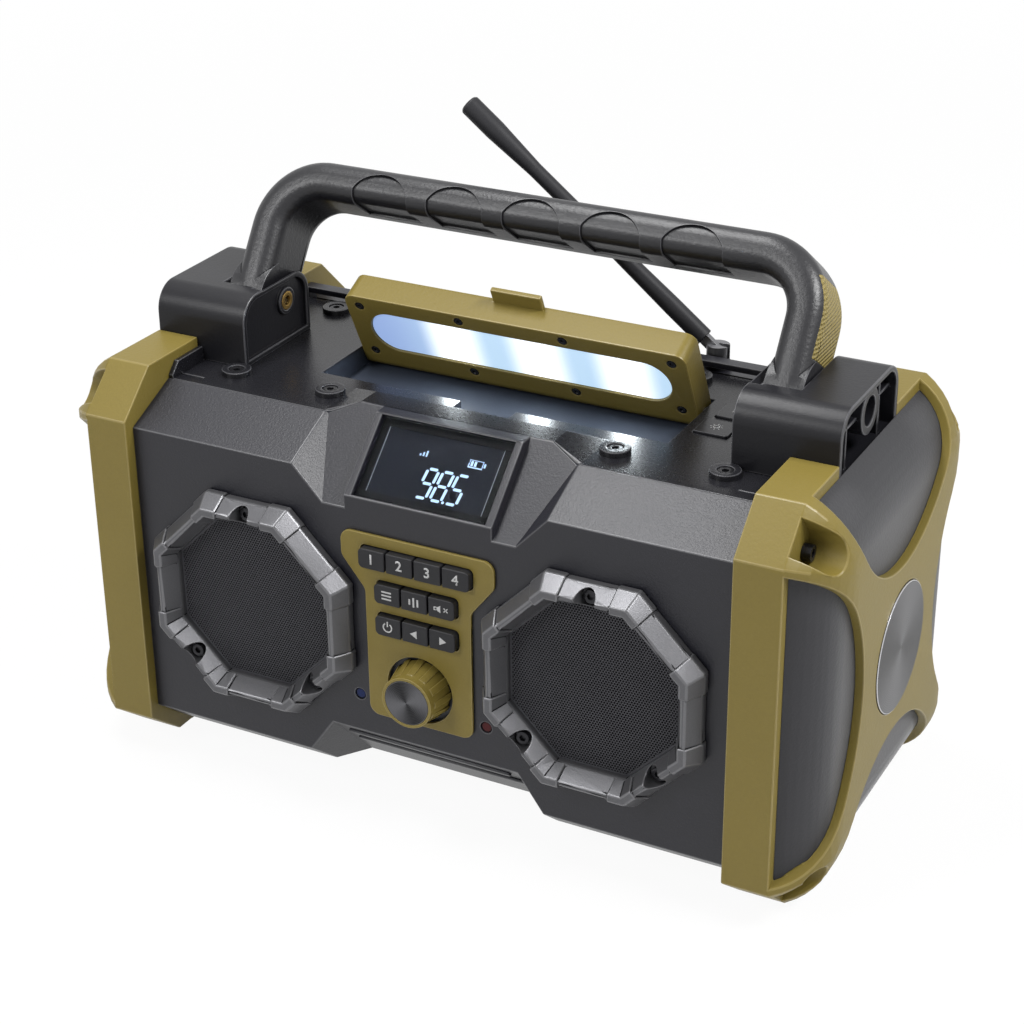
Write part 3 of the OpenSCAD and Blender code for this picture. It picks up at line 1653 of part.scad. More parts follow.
front_shell();
rear_shell();
top_panel();
end_frame_left();
end_frame_right();
end_panel_left();
end_panel_right();
end_disc_left();
end_disc_right();
end_screws();
speaker_bezel_left();
speaker_bezel_right();
bezel_screws();
grille_left();
grille_right();
driver_left();
driver_right();
cone_left();
cone_right();
control_plate();
key_1();
key_2();
key_3();
key_4();
key_mode();
key_tone();
key_mute();
key_power();
key_back();
key_forward();
key_board();
volume_knob();
knob_cap();
encoder();
encoder_shaft();
display_window();
display_module();
indicator_left();
indicator_right();
lamp_housing();
lamp_diffuser();
lamp_board();
lamp_screws();
lamp_pins();
top_screws();
lamp_key();
scan_key();
bracket_left();
bracket_right();
pivot_bolts();
brass_inserts();
handle();
handle_pads();
antenna_base();
antenna_knuckle();
antenna_tongue();
antenna_rod();
rubber_feet();
battery_pack();
main_board();
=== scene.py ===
# %% [markdown]
# A jobsite speaker, dressed for its picture
#
# The frame comes from the imported model: every solid of the speaker sits where it belongs, in metres.
# What is left for this lesson is everything the eye reads first: rounded edges, grained plastic, spun
# metal, a fine grille, printed keys and a lamp that is switched on.

# %% The frame
import json
import math

import bmesh
import bpy
from mathutils import Matrix, Vector

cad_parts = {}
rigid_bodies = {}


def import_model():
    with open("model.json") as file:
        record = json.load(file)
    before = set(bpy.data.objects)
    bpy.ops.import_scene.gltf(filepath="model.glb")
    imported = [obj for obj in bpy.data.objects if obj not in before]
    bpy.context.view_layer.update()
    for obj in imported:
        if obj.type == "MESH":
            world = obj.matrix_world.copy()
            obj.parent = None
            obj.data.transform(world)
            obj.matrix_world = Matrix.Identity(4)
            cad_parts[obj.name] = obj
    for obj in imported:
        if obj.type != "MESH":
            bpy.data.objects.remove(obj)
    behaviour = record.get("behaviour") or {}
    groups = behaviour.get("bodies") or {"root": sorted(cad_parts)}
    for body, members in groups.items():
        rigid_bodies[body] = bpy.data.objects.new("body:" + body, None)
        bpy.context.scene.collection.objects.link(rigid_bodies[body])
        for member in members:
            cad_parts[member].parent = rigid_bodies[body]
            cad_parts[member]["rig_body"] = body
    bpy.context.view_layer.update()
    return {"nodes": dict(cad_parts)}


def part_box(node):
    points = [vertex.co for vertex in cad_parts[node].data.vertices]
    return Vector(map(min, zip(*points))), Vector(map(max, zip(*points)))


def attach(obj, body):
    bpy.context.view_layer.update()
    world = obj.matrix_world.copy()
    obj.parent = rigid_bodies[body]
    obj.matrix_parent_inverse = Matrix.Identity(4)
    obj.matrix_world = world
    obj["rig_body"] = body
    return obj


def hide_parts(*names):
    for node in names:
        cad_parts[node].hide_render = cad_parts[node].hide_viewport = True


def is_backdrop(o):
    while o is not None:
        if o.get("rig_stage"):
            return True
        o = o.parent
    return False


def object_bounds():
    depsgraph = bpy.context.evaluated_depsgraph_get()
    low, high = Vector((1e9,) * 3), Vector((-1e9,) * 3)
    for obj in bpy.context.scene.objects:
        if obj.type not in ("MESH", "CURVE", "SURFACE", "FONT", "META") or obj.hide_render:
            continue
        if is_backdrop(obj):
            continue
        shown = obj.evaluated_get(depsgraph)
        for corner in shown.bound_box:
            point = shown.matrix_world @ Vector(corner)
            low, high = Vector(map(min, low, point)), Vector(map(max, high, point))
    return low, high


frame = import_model()

# %% [markdown]
# The camera stands in front and to the right, looking down. Its place and its three directions were fitted
# to the picture's straight edges, so they are written down as they are. A long lens keeps the perspective
# calm.

# %% The camera
CAMERA_PLACE = (0.4185, -0.7884, 0.5604)
CAMERA_RIGHT = Vector((0.88580759, 0.46395892, -0.00932957))
CAMERA_UP = Vector((-0.1992005, 0.39832527, 0.89535252))
CAMERA_FORWARD = Vector((-0.41912299, 0.7912516, -0.4452604))
LENS_MM = 79.82
SENSOR_MM = 36
CLIP_START = 0.01

bpy.ops.object.camera_add(location=CAMERA_PLACE)
camera = bpy.context.active_object
turn = Matrix((CAMERA_RIGHT, CAMERA_UP, -CAMERA_FORWARD)).transposed()
camera.rotation_euler = turn.to_euler()
camera.data.lens = LENS_MM
camera.data.sensor_width = SENSOR_MM
camera.data.clip_start = CLIP_START
bpy.context.scene.camera = camera
bpy.context.scene.view_settings.view_transform = "Standard"
print("camera at", CAMERA_PLACE, "lens", LENS_MM)

# %% [markdown]
# Shader maths reads best as plain sums. A Wire holds one socket, and each operator on it adds a Math node.
# A Finish is one material: it sets what is the same all over straight on the shader, and its node method
# makes every other node, from the node's type, its settings and its sockets.

# %% Wires and finishes
MIX_SOCKETS = (0, 6, 7)
MIX_RESULT = 2


class Wire:
    """One socket that can be used in a sum."""

    def __init__(self, finish, socket):
        self.finish = finish
        self.socket = socket

    def maths(self, operation, first, second):
        return self.finish.node("ShaderNodeMath", {"operation": operation}, {0: first, 1: second})

    def __add__(self, other):
        return self.maths("ADD", self, other)

    def __radd__(self, other):
        return self.maths("ADD", other, self)

    def __sub__(self, other):
        return self.maths("SUBTRACT", self, other)

    def __mul__(self, other):
        return self.maths("MULTIPLY", self, other)

    def __rmul__(self, other):
        return self.maths("MULTIPLY", other, self)

    def __pow__(self, other):
        return self.maths("POWER", self, other)


class Finish:
    """A material whose varying sockets are fed by wires."""

    def __init__(self, name, colour, rough, fixed=None):
        self.colour = colour
        self.material = bpy.data.materials.new(name)
        self.material.use_nodes = True
        self.tree = self.material.node_tree
        self.shader = self.tree.nodes["Principled BSDF"]
        self.shader.inputs["Base Color"].default_value = (*colour, 1)
        self.shader.inputs["Roughness"].default_value = rough
        for socket, value in (fixed or {}).items():
            self.shader.inputs[socket].default_value = value
        self.place = self.node("ShaderNodeTexCoord", out="Object")

    def node(self, kind, settings=None, sockets=None, out=0):
        made = self.tree.nodes.new(kind)
        for name, value in (settings or {}).items():
            setattr(made, name, value)
        for name, value in (sockets or {}).items():
            if isinstance(value, Wire):
                self.tree.links.new(value.socket, made.inputs[name])
            else:
                made.inputs[name].default_value = value
        return Wire(self, made.outputs[out])

    def feed(self, socket, wire):
        self.tree.links.new(wire.socket, self.shader.inputs[socket])

    def noise(self, size, detail=2.0, place=None):
        sockets = {"Vector": place or self.place, "Scale": 1 / size, "Detail": detail}
        return self.node("ShaderNodeTexNoise", None, sockets)

    def pits(self, size):
        settings = {"feature": "SMOOTH_F1"}
        return self.node("ShaderNodeTexVoronoi", settings, {"Vector": self.place, "Scale": 1 / size})

    def axis(self, name, place=None):
        return self.node("ShaderNodeSeparateXYZ", None, {0: place or self.place}, name)

    def moved(self, centre):
        settings = {"vector_type": "TEXTURE"}
        return self.node("ShaderNodeMapping", settings, {"Vector": self.place, "Location": centre})

    def root(self, value):
        return self.node("ShaderNodeMath", {"operation": "SQRT"}, {0: value})

    def wave(self, value):
        return self.node("ShaderNodeMath", {"operation": "SINE"}, {0: value})

    def away(self, point):
        settings = {"operation": "DISTANCE"}
        return self.node("ShaderNodeVectorMath", settings, {0: self.place, 1: point}, "Value")

    def clamp(self, value):
        return self.node("ShaderNodeClamp", None, {"Value": value})

    def smooth(self, value, low, high):
        settings = {"interpolation_type": "SMOOTHSTEP"}
        return self.node("ShaderNodeMapRange", settings, {"Value": value, "From Min": low, "From Max": high})

    def mix(self, first, second, share):
        colours = [c if isinstance(c, Wire) else (*c, 1) for c in (first, second)]
        sockets = dict(zip(MIX_SOCKETS, (share, *colours)))
        return self.node("ShaderNodeMix", {"data_type": "RGBA"}, sockets, MIX_RESULT)

    def shades(self, share, spread):
        dark = tuple(c * (1 - spread) for c in self.colour)
        light = tuple(min(1, c * (1 + spread)) for c in self.colour)
        return self.mix(dark, light, share)

    def bump(self, height, depth):
        self.feed("Normal", self.node("ShaderNodeBump", None, {"Distance": depth, "Height": height}))


print("shader tools ready")

# %% [markdown]
# Most of the speaker is moulded plastic. The mould is etched, so the skin has a fine pebble grain that breaks
# up reflections, and handling leaves faint duller and brighter patches. One function makes all these skins.
# Each line gives a colour, a roughness, the grain's size and depth, and how far the shades spread: these
# tell the coarse front from the satin top.

# %% Grained plastics
PATCH_SIZE = 0.05
PEBBLE_RATIO = 1.7
INK = (0.008, 0.008, 0.010)
GRAINED = {"Specular IOR Level": 0.45}
MATT = {"Specular IOR Level": 0.25}
DEEP = {"Specular IOR Level": 0.10}
SATIN = {"Specular IOR Level": 0.36}
SOFT = {"Specular IOR Level": 0.30, "Sheen Weight": 0.25, "Sheen Roughness": 0.4}


def moulded(name, colour, rough, grain, depth, spread=0.12, fixed=None):
    finish = Finish(name, colour, rough, fixed)
    fine = finish.noise(grain, 3.0)
    pebble = finish.pits(grain * PEBBLE_RATIO)
    patch = finish.noise(PATCH_SIZE, 3.0)
    finish.feed("Base Color", finish.shades(0.65 * fine + 0.35 * patch, spread))
    finish.feed("Roughness", rough - 0.06 + 0.08 * fine + 0.06 * patch)
    finish.bump(0.55 * fine + 0.45 * pebble, depth)
    return finish


olive = moulded("olive_plastic", (0.155, 0.118, 0.025), 0.44, 0.0009, 0.00010, 0.12, MATT)
# Painted highlights: each edge finish is lighter than its plastic and goes on the bevel faces.
olive_highlight_edge = moulded("olive_highlight_edge", (0.19, 0.145, 0.036), 0.36, 0.0009, 0.00003)
front_black = moulded("front_plastic", (0.0075, 0.0075, 0.0115), 0.38, 0.0006, 0.00013, 0.25, GRAINED)
black_highlight_edge = moulded("black_highlight_edge", (0.045, 0.045, 0.050), 0.32, 0.0008, 0.00003)
satin_black = moulded("satin_plastic", INK, 0.28, 0.0008, 0.00004, 0.2, SATIN)
bracket_black = moulded("bracket_plastic", INK, 0.34, 0.0008, 0.00006, 0.2, MATT)
handle_black = moulded("handle_plastic", INK, 0.36, 0.0009, 0.00014, 0.2, GRAINED)
soft_grey = moulded("soft_end_panel", (0.020, 0.020, 0.023), 0.50, 0.0008, 0.00010, 0.2, SOFT)
key_black = moulded("key_rubber", (0.014, 0.014, 0.016), 0.44, 0.0006, 0.00004, 0.2, MATT)
antenna_black = moulded("antenna_rubber", (0.011, 0.011, 0.013), 0.48, 0.0008, 0.00005, 0.2, MATT)
foot_rubber = moulded("foot_rubber", (0.014, 0.014, 0.014), 0.70, 0.0010, 0.00006, 0.2, MATT)
print("plastics: 11")

# %% [markdown]
# The tub that takes the folded lamp is part of the top panel, but its floor isn't satin: it is spark-eroded
# rough. Its colour is a lighter cool blue, a painted glow of the lamp's light on the floor. The height tells
# the floor from the panel.

# %% The panel with its rough tub
TUB_LEVEL = (0.1744, 0.1732)
TUB_PAINTED_GLOW = (0.034, 0.042, 0.060)
TUB_GRAIN = 0.0009
TUB_DEPTH = 0.00005
panel_black = Finish("panel_plastic", INK, 0.28, SATIN)
below = panel_black.smooth(panel_black.axis("Z"), *TUB_LEVEL)
erosion = panel_black.noise(TUB_GRAIN, 3.0)
panel_shade = panel_black.shades(erosion, 0.2)
# Painted glow: the tub floor takes a lighter cool blue in place of the lamp's light.
panel_black.feed("Base Color", panel_black.mix(panel_shade, TUB_PAINTED_GLOW, below))
panel_black.feed("Roughness", 0.24 + 0.08 * erosion + 0.26 * below)
panel_black.bump(erosion, TUB_DEPTH)
print("tub floor below", TUB_LEVEL[0])

# %% [markdown]
# The side pads of the handle are moulded with a diamond knurl, so that a wet glove keeps its hold. Two waves
# that cross at right angles, multiplied, give rows of small pyramids for the bump. The colour follows them as
# painted shade: lighter on each peak and darker in the pits between.

# %% Knurled pads
KNURL_PITCH = 0.0024
KNURL_DEPTH = 0.00035
PAD_ROUGH = 0.50
pad_olive = Finish("knurled_olive", (0.190, 0.146, 0.036), PAD_ROUGH)
knurl_turns = math.sqrt(2) * math.pi / KNURL_PITCH
upward = pad_olive.axis("Z")
across = pad_olive.axis("Y")
rising = pad_olive.wave(knurl_turns * (upward + across))
falling = pad_olive.wave(knurl_turns * (upward - across))
diamonds = rising * falling
pad_grain = pad_olive.noise(0.0008)
# Painted shade: the colour is lighter on the knurl's peaks and darker in its pits.
pad_olive.feed("Base Color", pad_olive.shades(0.5 + 0.3 * diamonds + 0.2 * pad_grain, 0.35))
pad_olive.feed("Roughness", PAD_ROUGH + 0.08 * pad_grain)
pad_olive.bump(diamonds, KNURL_DEPTH)
print("knurl pitch", KNURL_PITCH)

# %% [markdown]
# The bezels are die castings under metallic paint: a flake in the colour and a soft sheen. Turned discs carry
# fine rings round their centre as a bump, and their colour carries a painted sheen: two opposite wedges round
# the centre are lighter, the bow-tie of light that such a disc shows.

# %% Metals
FLAKE_SIZE = 0.0005
FLAKE_DEPTH = 0.00004
SMEAR_SIZE = 0.02
GROOVE_DEPTH = 0.00002
DISC_CENTRE = (0, 0.004, 0.0925)
CAP_CENTRE = (0, 0, 0.0695)
DULL = {"Specular IOR Level": 0.15}


def painted_metal(name, colour, rough, metallic, fixed=None):
    finish = Finish(name, colour, rough, {"Metallic": metallic, **(fixed or {})})
    flake = finish.noise(FLAKE_SIZE, 2.0)
    patch = finish.noise(SMEAR_SIZE, 3.0)
    finish.feed("Base Color", finish.shades(0.7 * flake + 0.3 * patch, 0.22))
    finish.feed("Roughness", rough - 0.05 + 0.12 * patch)
    finish.bump(flake, FLAKE_DEPTH)
    return finish


def turned_metal(name, colour, rough, centre, axes, ring_pitch, lean):
    finish = Finish(name, colour, rough, {"Metallic": 1.0})
    place = finish.moved(centre)
    across = finish.axis(axes[0], place)
    upward = finish.axis(axes[1], place)
    radius = finish.root(across * across + upward * upward)
    angle = finish.node("ShaderNodeMath", {"operation": "ARCTAN2"}, {0: upward, 1: across})
    bowtie_painted_sheen = finish.wave(2 * angle + lean)
    groove = finish.wave(radius * (2 * math.pi / ring_pitch))
    wear = finish.noise(0.0012, 2.0, place)
    # Painted sheen: two opposite wedges of the colour are lighter, the bow-tie of light on a turned disc.
    finish.feed("Base Color", finish.shades(0.42 + 0.40 * bowtie_painted_sheen + 0.1 * groove + 0.16 * wear, 0.75))
    finish.feed("Roughness", rough + 0.08 * wear)
    finish.bump(groove, GROOVE_DEPTH)
    return finish


gunmetal = painted_metal("gunmetal_paint", (0.100, 0.100, 0.106), 0.34, 0.60, MATT)
# Painted highlight: a lighter gunmetal on the bezels' bevelled edges.
gun_highlight_edge = painted_metal("gunmetal_highlight_edge", (0.140, 0.140, 0.147), 0.32, 0.6, MATT)
# Painted shade: a near-black finish for the thin bevel in inner creases.
crease_painted_shade = painted_metal("crease_painted_shade", (0.004, 0.004, 0.005), 0.60, 0.0, DULL)
dull_steel = painted_metal("dull_steel", (0.20, 0.20, 0.21), 0.34, 1.0)
grille_paint = painted_metal("grille_paint", (0.056, 0.056, 0.062), 0.45, 0.1, DULL)
screw_black = painted_metal("blackened_screw", (0.022, 0.022, 0.025), 0.26, 0.7)
bright_steel = painted_metal("bright_steel", (0.55, 0.55, 0.57), 0.25, 1.0)
brass = painted_metal("turned_brass", (0.65, 0.42, 0.13), 0.28, 1.0)
disc_steel = turned_metal("spun_disc", (0.075, 0.075, 0.078), 0.34, DISC_CENTRE, "YZ", 0.0009, -0.9)
cap_steel = turned_metal("spun_cap", (0.075, 0.075, 0.080), 0.32, CAP_CENTRE, "XZ", 0.0007, 0.6)
print("metals: 10")

# %% [markdown]
# A CAD solid has knife edges, and no moulded or cast piece has. The solid itself is never touched. Its mesh
# is copied, its triangles are merged and laid out afresh, and a bevel modifier rounds every outer edge that
# is sharper than a limit. The bevel's own faces may take a second, lighter finish, a painted highlight along
# the outer edges. Inner corners stay crisp, as a mould's are. On castings and ribbed pieces a hair-thin bevel
# in them gets a black finish, a painted shade line in the crease. The copy then stands for the solid and
# rides on the same body.

# %% Rounding a copy of a solid
WELD = 0.000012
FLAT = math.radians(0.4)


def alone(piece):
    bpy.ops.object.select_all(action="DESELECT")
    bpy.context.view_layer.objects.active = piece
    piece.select_set(True)


def everything(piece):
    alone(piece)
    bpy.ops.object.mode_set(mode="EDIT")
    bpy.ops.mesh.select_all(action="SELECT")


def apply_modifiers(piece):
    alone(piece)
    for modifier in list(piece.modifiers):
        bpy.ops.object.modifier_apply(modifier=modifier.name)


def settle(piece, finish, body):
    piece.data.materials.clear()
    piece.data.materials.append(finish.material)
    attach(piece, body)
    return piece


def weigh_edges(piece, sharp):
    """Marks outer edges for rounding and inner corners for a painted shade line."""
    work = bmesh.new()
    work.from_mesh(piece.data)
    outer = work.edges.layers.float.new("outer")
    inner = work.edges.layers.float.new("inner")
    for edge in work.edges:
        if len(edge.link_faces) == 2 and edge.calc_face_angle() > math.radians(sharp):
            edge[outer if edge.is_convex else inner] = 1.0
    work.to_mesh(piece.data)
    work.free()


def bevelled(piece, layer, width, steps, finish):
    bevel = piece.modifiers.new("rounded edges", "BEVEL")
    bevel.width = width
    bevel.segments = steps
    bevel.limit_method = "WEIGHT"
    bevel.edge_weight = layer
    bevel.use_clamp_overlap = False
    bevel.loop_slide = False
    if finish:
        piece.data.materials.append(finish.material)
        bevel.material = len(piece.data.materials) - 1


def dressed(node, finish, slot, rounding, steps=2, sharp=32, edge=None, crease=0):
    source = frame["nodes"][node]
    piece = bpy.data.objects.new(node + "_skin", source.data.copy())
    bpy.context.scene.collection.objects.link(piece)
    settle(piece, finish, source["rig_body"])
    everything(piece)
    bpy.ops.mesh.customdata_custom_splitnormals_clear()
    bpy.ops.mesh.remove_doubles(threshold=WELD)
    bpy.ops.mesh.dissolve_limited(angle_limit=FLAT)
    bpy.ops.mesh.quads_convert_to_tris(quad_method="BEAUTY", ngon_method="BEAUTY")
    bpy.ops.object.mode_set(mode="OBJECT")
    weigh_edges(piece, sharp)
    # The edge finish, when given, is a painted highlight on the rounded faces.
    bevelled(piece, "outer", rounding, steps, edge)
    if crease:
        # Painted shade: a hair-thin black bevel fills each inner crease.
        bevelled(piece, "inner", crease, 1, crease_painted_shade)
    apply_modifiers(piece)
    alone(piece)
    bpy.ops.object.shade_smooth_by_angle(angle=math.radians(sharp))
    even = piece.modifiers.new("even shading", "WEIGHTED_NORMAL")
    even.keep_sharp = True
    apply_modifiers(piece)
    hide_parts(node)
    return piece


print("rounding ready")

# %% [markdown]
# With that helper a table holds all the visible solids: nodes, finish, slot and rounding. Big mouldings get
# about half a millimetre, keys and bezels one step more so that their highlights run smoothly, and screws
# only a broken edge. The two top keys then lose a tenth of a millimetre at both sides where they slide in
# the case, as a real key has play there.

# %% The skins
CREASE = 0.0003
OLIVE_HIGHLIGHT = {"edge": olive_highlight_edge}
BLACK_HIGHLIGHT = {"edge": black_highlight_edge}
CREASED = {"edge": black_highlight_edge, "crease": CREASE}
CAST = {"steps": 3, "sharp": 22, "edge": gun_highlight_edge, "crease": CREASE}
KEY = {"steps": 3}
SKINS = [
    ("end_frame_left end_frame_right", olive, "olive_plastic", 0.0006, OLIVE_HIGHLIGHT),
    ("control_plate", olive, "olive_plastic", 0.0004, OLIVE_HIGHLIGHT),
    ("volume_knob", olive, "olive_plastic", 0.0003, OLIVE_HIGHLIGHT),
    ("lamp_housing", olive, "olive_plastic", 0.0006, OLIVE_HIGHLIGHT),
    ("front_shell rear_shell", front_black, "black_plastic", 0.0005, BLACK_HIGHLIGHT),
    ("lamp_key scan_key", satin_black, "satin_plastic", 0.0003, BLACK_HIGHLIGHT),
    ("top_panel", panel_black, "satin_plastic", 0.0004, BLACK_HIGHLIGHT),
    ("bracket_left bracket_right", bracket_black, "satin_plastic", 0.0006, CREASED),
    ("key_1 key_2 key_3 key_4 key_mode key_tone", key_black, "key_rubber", 0.0005, KEY),
    ("key_mute key_power key_back key_forward", key_black, "key_rubber", 0.0005, KEY),
    ("speaker_bezel_left speaker_bezel_right", gunmetal, "gunmetal", 0.0007, CAST),
    ("end_panel_left end_panel_right", soft_grey, "soft_grey", 0.0004, {}),
    # Painted highlight: the spun discs' bevelled rims take bright steel.
    ("end_disc_left end_disc_right", disc_steel, "spun_steel", 0.0004, {"edge": bright_steel}),
    ("end_screws bezel_screws top_screws lamp_screws pivot_bolts", screw_black, "dark_screw", 0.0002, {}),
    ("knob_cap", cap_steel, "knob_metal", 0.0003, {"edge": gunmetal}),
    ("handle", handle_black, "black_plastic", 0.0003, CREASED),
    ("handle_pads", pad_olive, "olive_plastic", 0.0003, {}),
    ("antenna_rod", antenna_black, "antenna_rubber", 0.0004, {}),
    ("antenna_base", antenna_black, "antenna_rubber", 0.0003, {}),
    ("antenna_knuckle antenna_tongue", dull_steel, "bright_steel", 0.0002, {}),
    ("rubber_feet", foot_rubber, "antenna_rubber", 0.0005, {}),
    ("brass_inserts", brass, "insert_brass", 0.0002, {}),
    ("lamp_pins", bright_steel, "bright_steel", 0.0002, {}),
]
TOP_KEYS = ("lamp_key", "scan_key")
TOP_KEY_PLAY = 0.00012

for nodes, finish, slot, rounding, more in SKINS:
    for node in nodes.split():
        dressed(node, finish, slot, rounding, **more)
for node in TOP_KEYS:
    low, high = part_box(node)
    everything(bpy.data.objects[node + "_skin"])
    for x, outward in ((low[0] + TOP_KEY_PLAY, (-1, 0, 0)), (high[0] - TOP_KEY_PLAY, (1, 0, 0))):
        bpy.ops.mesh.select_all(action="SELECT")
        bpy.ops.mesh.bisect(plane_co=(x, 0, 0), plane_no=outward, clear_outer=True, use_fill=True)
    bpy.ops.object.mode_set(mode="OBJECT")

# %% [markdown]
# Fine things are drawn flat first, like the layers of a print: discs, rings, bars and frames that are cut,
# joined and given a hair of thickness. A mark sinks a little into the face it is set on, so that no gap shows
# from the side.

# %% Drawing tools
MARK_T = 0.00016
MARK_SINK = 0.00006
CORNER_R = 0.00012
TEXT_RATIO = 1.39
TEXT_WEIGHT = 0.022
TEXT_WELD = 0.002
STANDING = Matrix.Rotation(math.pi / 2, 4, "X")


def hollow_outline(width):
    """Turns the filled outline in edit mode into a frame of a given width."""
    bpy.ops.mesh.inset(thickness=width)
    bpy.ops.mesh.delete(type="FACE")
    bpy.ops.object.mode_set(mode="OBJECT")


def round_corners(piece, radius):
    everything(piece)
    bpy.ops.mesh.bevel(offset=radius, segments=2, affect="VERTICES")
    bpy.ops.object.mode_set(mode="OBJECT")


def disc(x, y, radius, sides=32, turned=0.0):
    bpy.ops.mesh.primitive_circle_add(
        vertices=sides, radius=radius, fill_type="NGON", location=(x, y, 0), rotation=(0, 0, turned))
    piece = bpy.context.active_object
    bpy.ops.object.transform_apply()
    return piece


def bar(x, y, width, height, turned=0.0, corner_r=CORNER_R):
    bpy.ops.mesh.primitive_plane_add(size=1, location=(x, y, 0), rotation=(0, 0, turned))
    piece = bpy.context.active_object
    piece.scale = (width, height, 1)
    bpy.ops.object.transform_apply()
    round_corners(piece, corner_r)
    return piece


def hollow(piece, width):
    everything(piece)
    hollow_outline(width)
    return piece


def numeral(words, height):
    bpy.ops.object.text_add()
    piece = bpy.context.active_object
    piece.data.body = words
    piece.data.size = height * TEXT_RATIO
    piece.data.offset = height * TEXT_WEIGHT
    piece.data.align_x = "CENTER"
    piece.data.align_y = "CENTER"
    bpy.ops.object.convert(target="MESH")
    piece = bpy.context.active_object
    everything(piece)
    bpy.ops.mesh.remove_doubles(threshold=height * TEXT_WELD)
    bpy.ops.object.mode_set(mode="OBJECT")
    return piece


def pick(piece, test):
    """Selects, in edit mode, the vertices whose place passes a test."""
    everything(piece)
    bpy.ops.mesh.select_mode(type="VERT")
    bpy.ops.mesh.select_all(action="DESELECT")
    bpy.ops.object.mode_set(mode="OBJECT")
    for vertex in piece.data.vertices:
        vertex.select = test(vertex.co)
    bpy.ops.object.mode_set(mode="EDIT")


def joined(parts):
    bpy.ops.object.select_all(action="DESELECT")
    for part in parts:
        part.select_set(True)
    bpy.context.view_layer.objects.active = parts[0]
    bpy.ops.object.join()
    return bpy.context.active_object


def laid(name, parts, matrix, finish, body, thick=MARK_T, sink=MARK_SINK):
    """Joins flat parts, thickens them and sets them on a face."""
    piece = joined(parts)
    piece.name = name
    layer = piece.modifiers.new("layer", "SOLIDIFY")
    layer.thickness = thick
    layer.offset = 1
    apply_modifiers(piece)
    piece.data.transform(matrix @ Matrix.Translation((0, 0, -sink)))
    return settle(piece, finish, body)


def placed_copy(source, name, matrix):
    piece = bpy.data.objects.new(name, source.data.copy())
    bpy.context.scene.collection.objects.link(piece)
    piece.data.transform(matrix)
    return piece


print("drawing tools ready")

# %% [markdown]
# The grille is a steel sheet pierced with a fine staggered pattern. One hole is a hexagon with a smaller one
# taken out of its middle, six small faces in all. A second hole is set half a pitch over, two arrays fill a
# square with the pair, and eight cuts leave the octagon. A plain rim closes the edge, and Solidify gives the
# sheet its thickness. The second grille is a copy with a mesh of its own.

# %% One pierced sheet
HOLE_PITCH = 0.00127
HOLE_WEB = 0.00017
SHEET_HALF = 0.0379
SHEET_RIM = 0.0009
SHEET_T = 0.0003
CELL_R = HOLE_PITCH / math.sqrt(3)
CELL_WELD = CELL_R / 20

sheet = hollow(disc(0, 0, CELL_R, 6), HOLE_WEB)
everything(sheet)
bpy.ops.mesh.duplicate_move(TRANSFORM_OT_translate={"value": (HOLE_PITCH / 2, 1.5 * CELL_R, 0)})
bpy.ops.object.mode_set(mode="OBJECT")
counts = {
    (HOLE_PITCH, 0, 0): math.ceil(2 * SHEET_HALF / HOLE_PITCH) + 1,
    (0, 3 * CELL_R, 0): math.ceil(2 * SHEET_HALF / (3 * CELL_R)) + 1,
}
for step, count in counts.items():
    array = sheet.modifiers.new("rows of holes", "ARRAY")
    array.use_relative_offset = False
    array.use_constant_offset = True
    array.constant_offset_displace = step
    array.count = count
apply_modifiers(sheet)
print("sheet faces before the cuts:", len(sheet.data.polygons))

# %% The octagon and its rim
SIDES = 8
CORNER = SHEET_HALF / math.cos(math.pi / SIDES)
HALF_TURN = math.pi / SIDES

everything(sheet)
bpy.ops.mesh.remove_doubles(threshold=CELL_WELD)
bpy.ops.transform.translate(value=(-SHEET_HALF, -SHEET_HALF, 0))
for k in range(SIDES):
    outward = Vector((math.cos(2 * k * HALF_TURN), math.sin(2 * k * HALF_TURN), 0))
    bpy.ops.mesh.select_all(action="SELECT")
    bpy.ops.mesh.bisect(plane_co=(SHEET_HALF - SHEET_RIM) * outward, plane_no=outward, clear_outer=True)
bpy.ops.object.mode_set(mode="OBJECT")
rim = hollow(disc(0, 0, CORNER, SIDES, HALF_TURN), SHEET_RIM)
sheet = joined([sheet, rim])
solid = sheet.modifiers.new("sheet metal", "SOLIDIFY")
solid.thickness = SHEET_T
solid.offset = 0
apply_modifiers(sheet)
print("sheet faces:", len(sheet.data.polygons))

# %% Both grilles
SPEAKER_X = 0.0805
SPEAKER_Z = 0.0925
SHEET_Y = -0.0816
BOTH = ((-1, "left"), (1, "right"))


def at_speaker(side, y):
    return Matrix.Translation((side * SPEAKER_X, y, SPEAKER_Z)) @ STANDING


for side, word in BOTH:
    grille = placed_copy(sheet, "grille_sheet_" + word, at_speaker(side, SHEET_Y))
    settle(grille, grille_paint, "cabinet")
    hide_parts("grille_" + word)
bpy.data.objects.remove(sheet)
print("grilles:", len(BOTH))

# %% [markdown]
# Behind each sheet lies a scrim, a near-black cloth sheet that makes every hole look equally dark: painted
# shade behind the grille. Its weave is a pattern, so two fine waves give it threads. One octagon is drawn,
# thickened and copied.

# %% The scrims
SCRIM_Y = -0.0812
SCRIM_T = 0.0001
THREAD_TURNS = 2 * math.pi / 0.0004
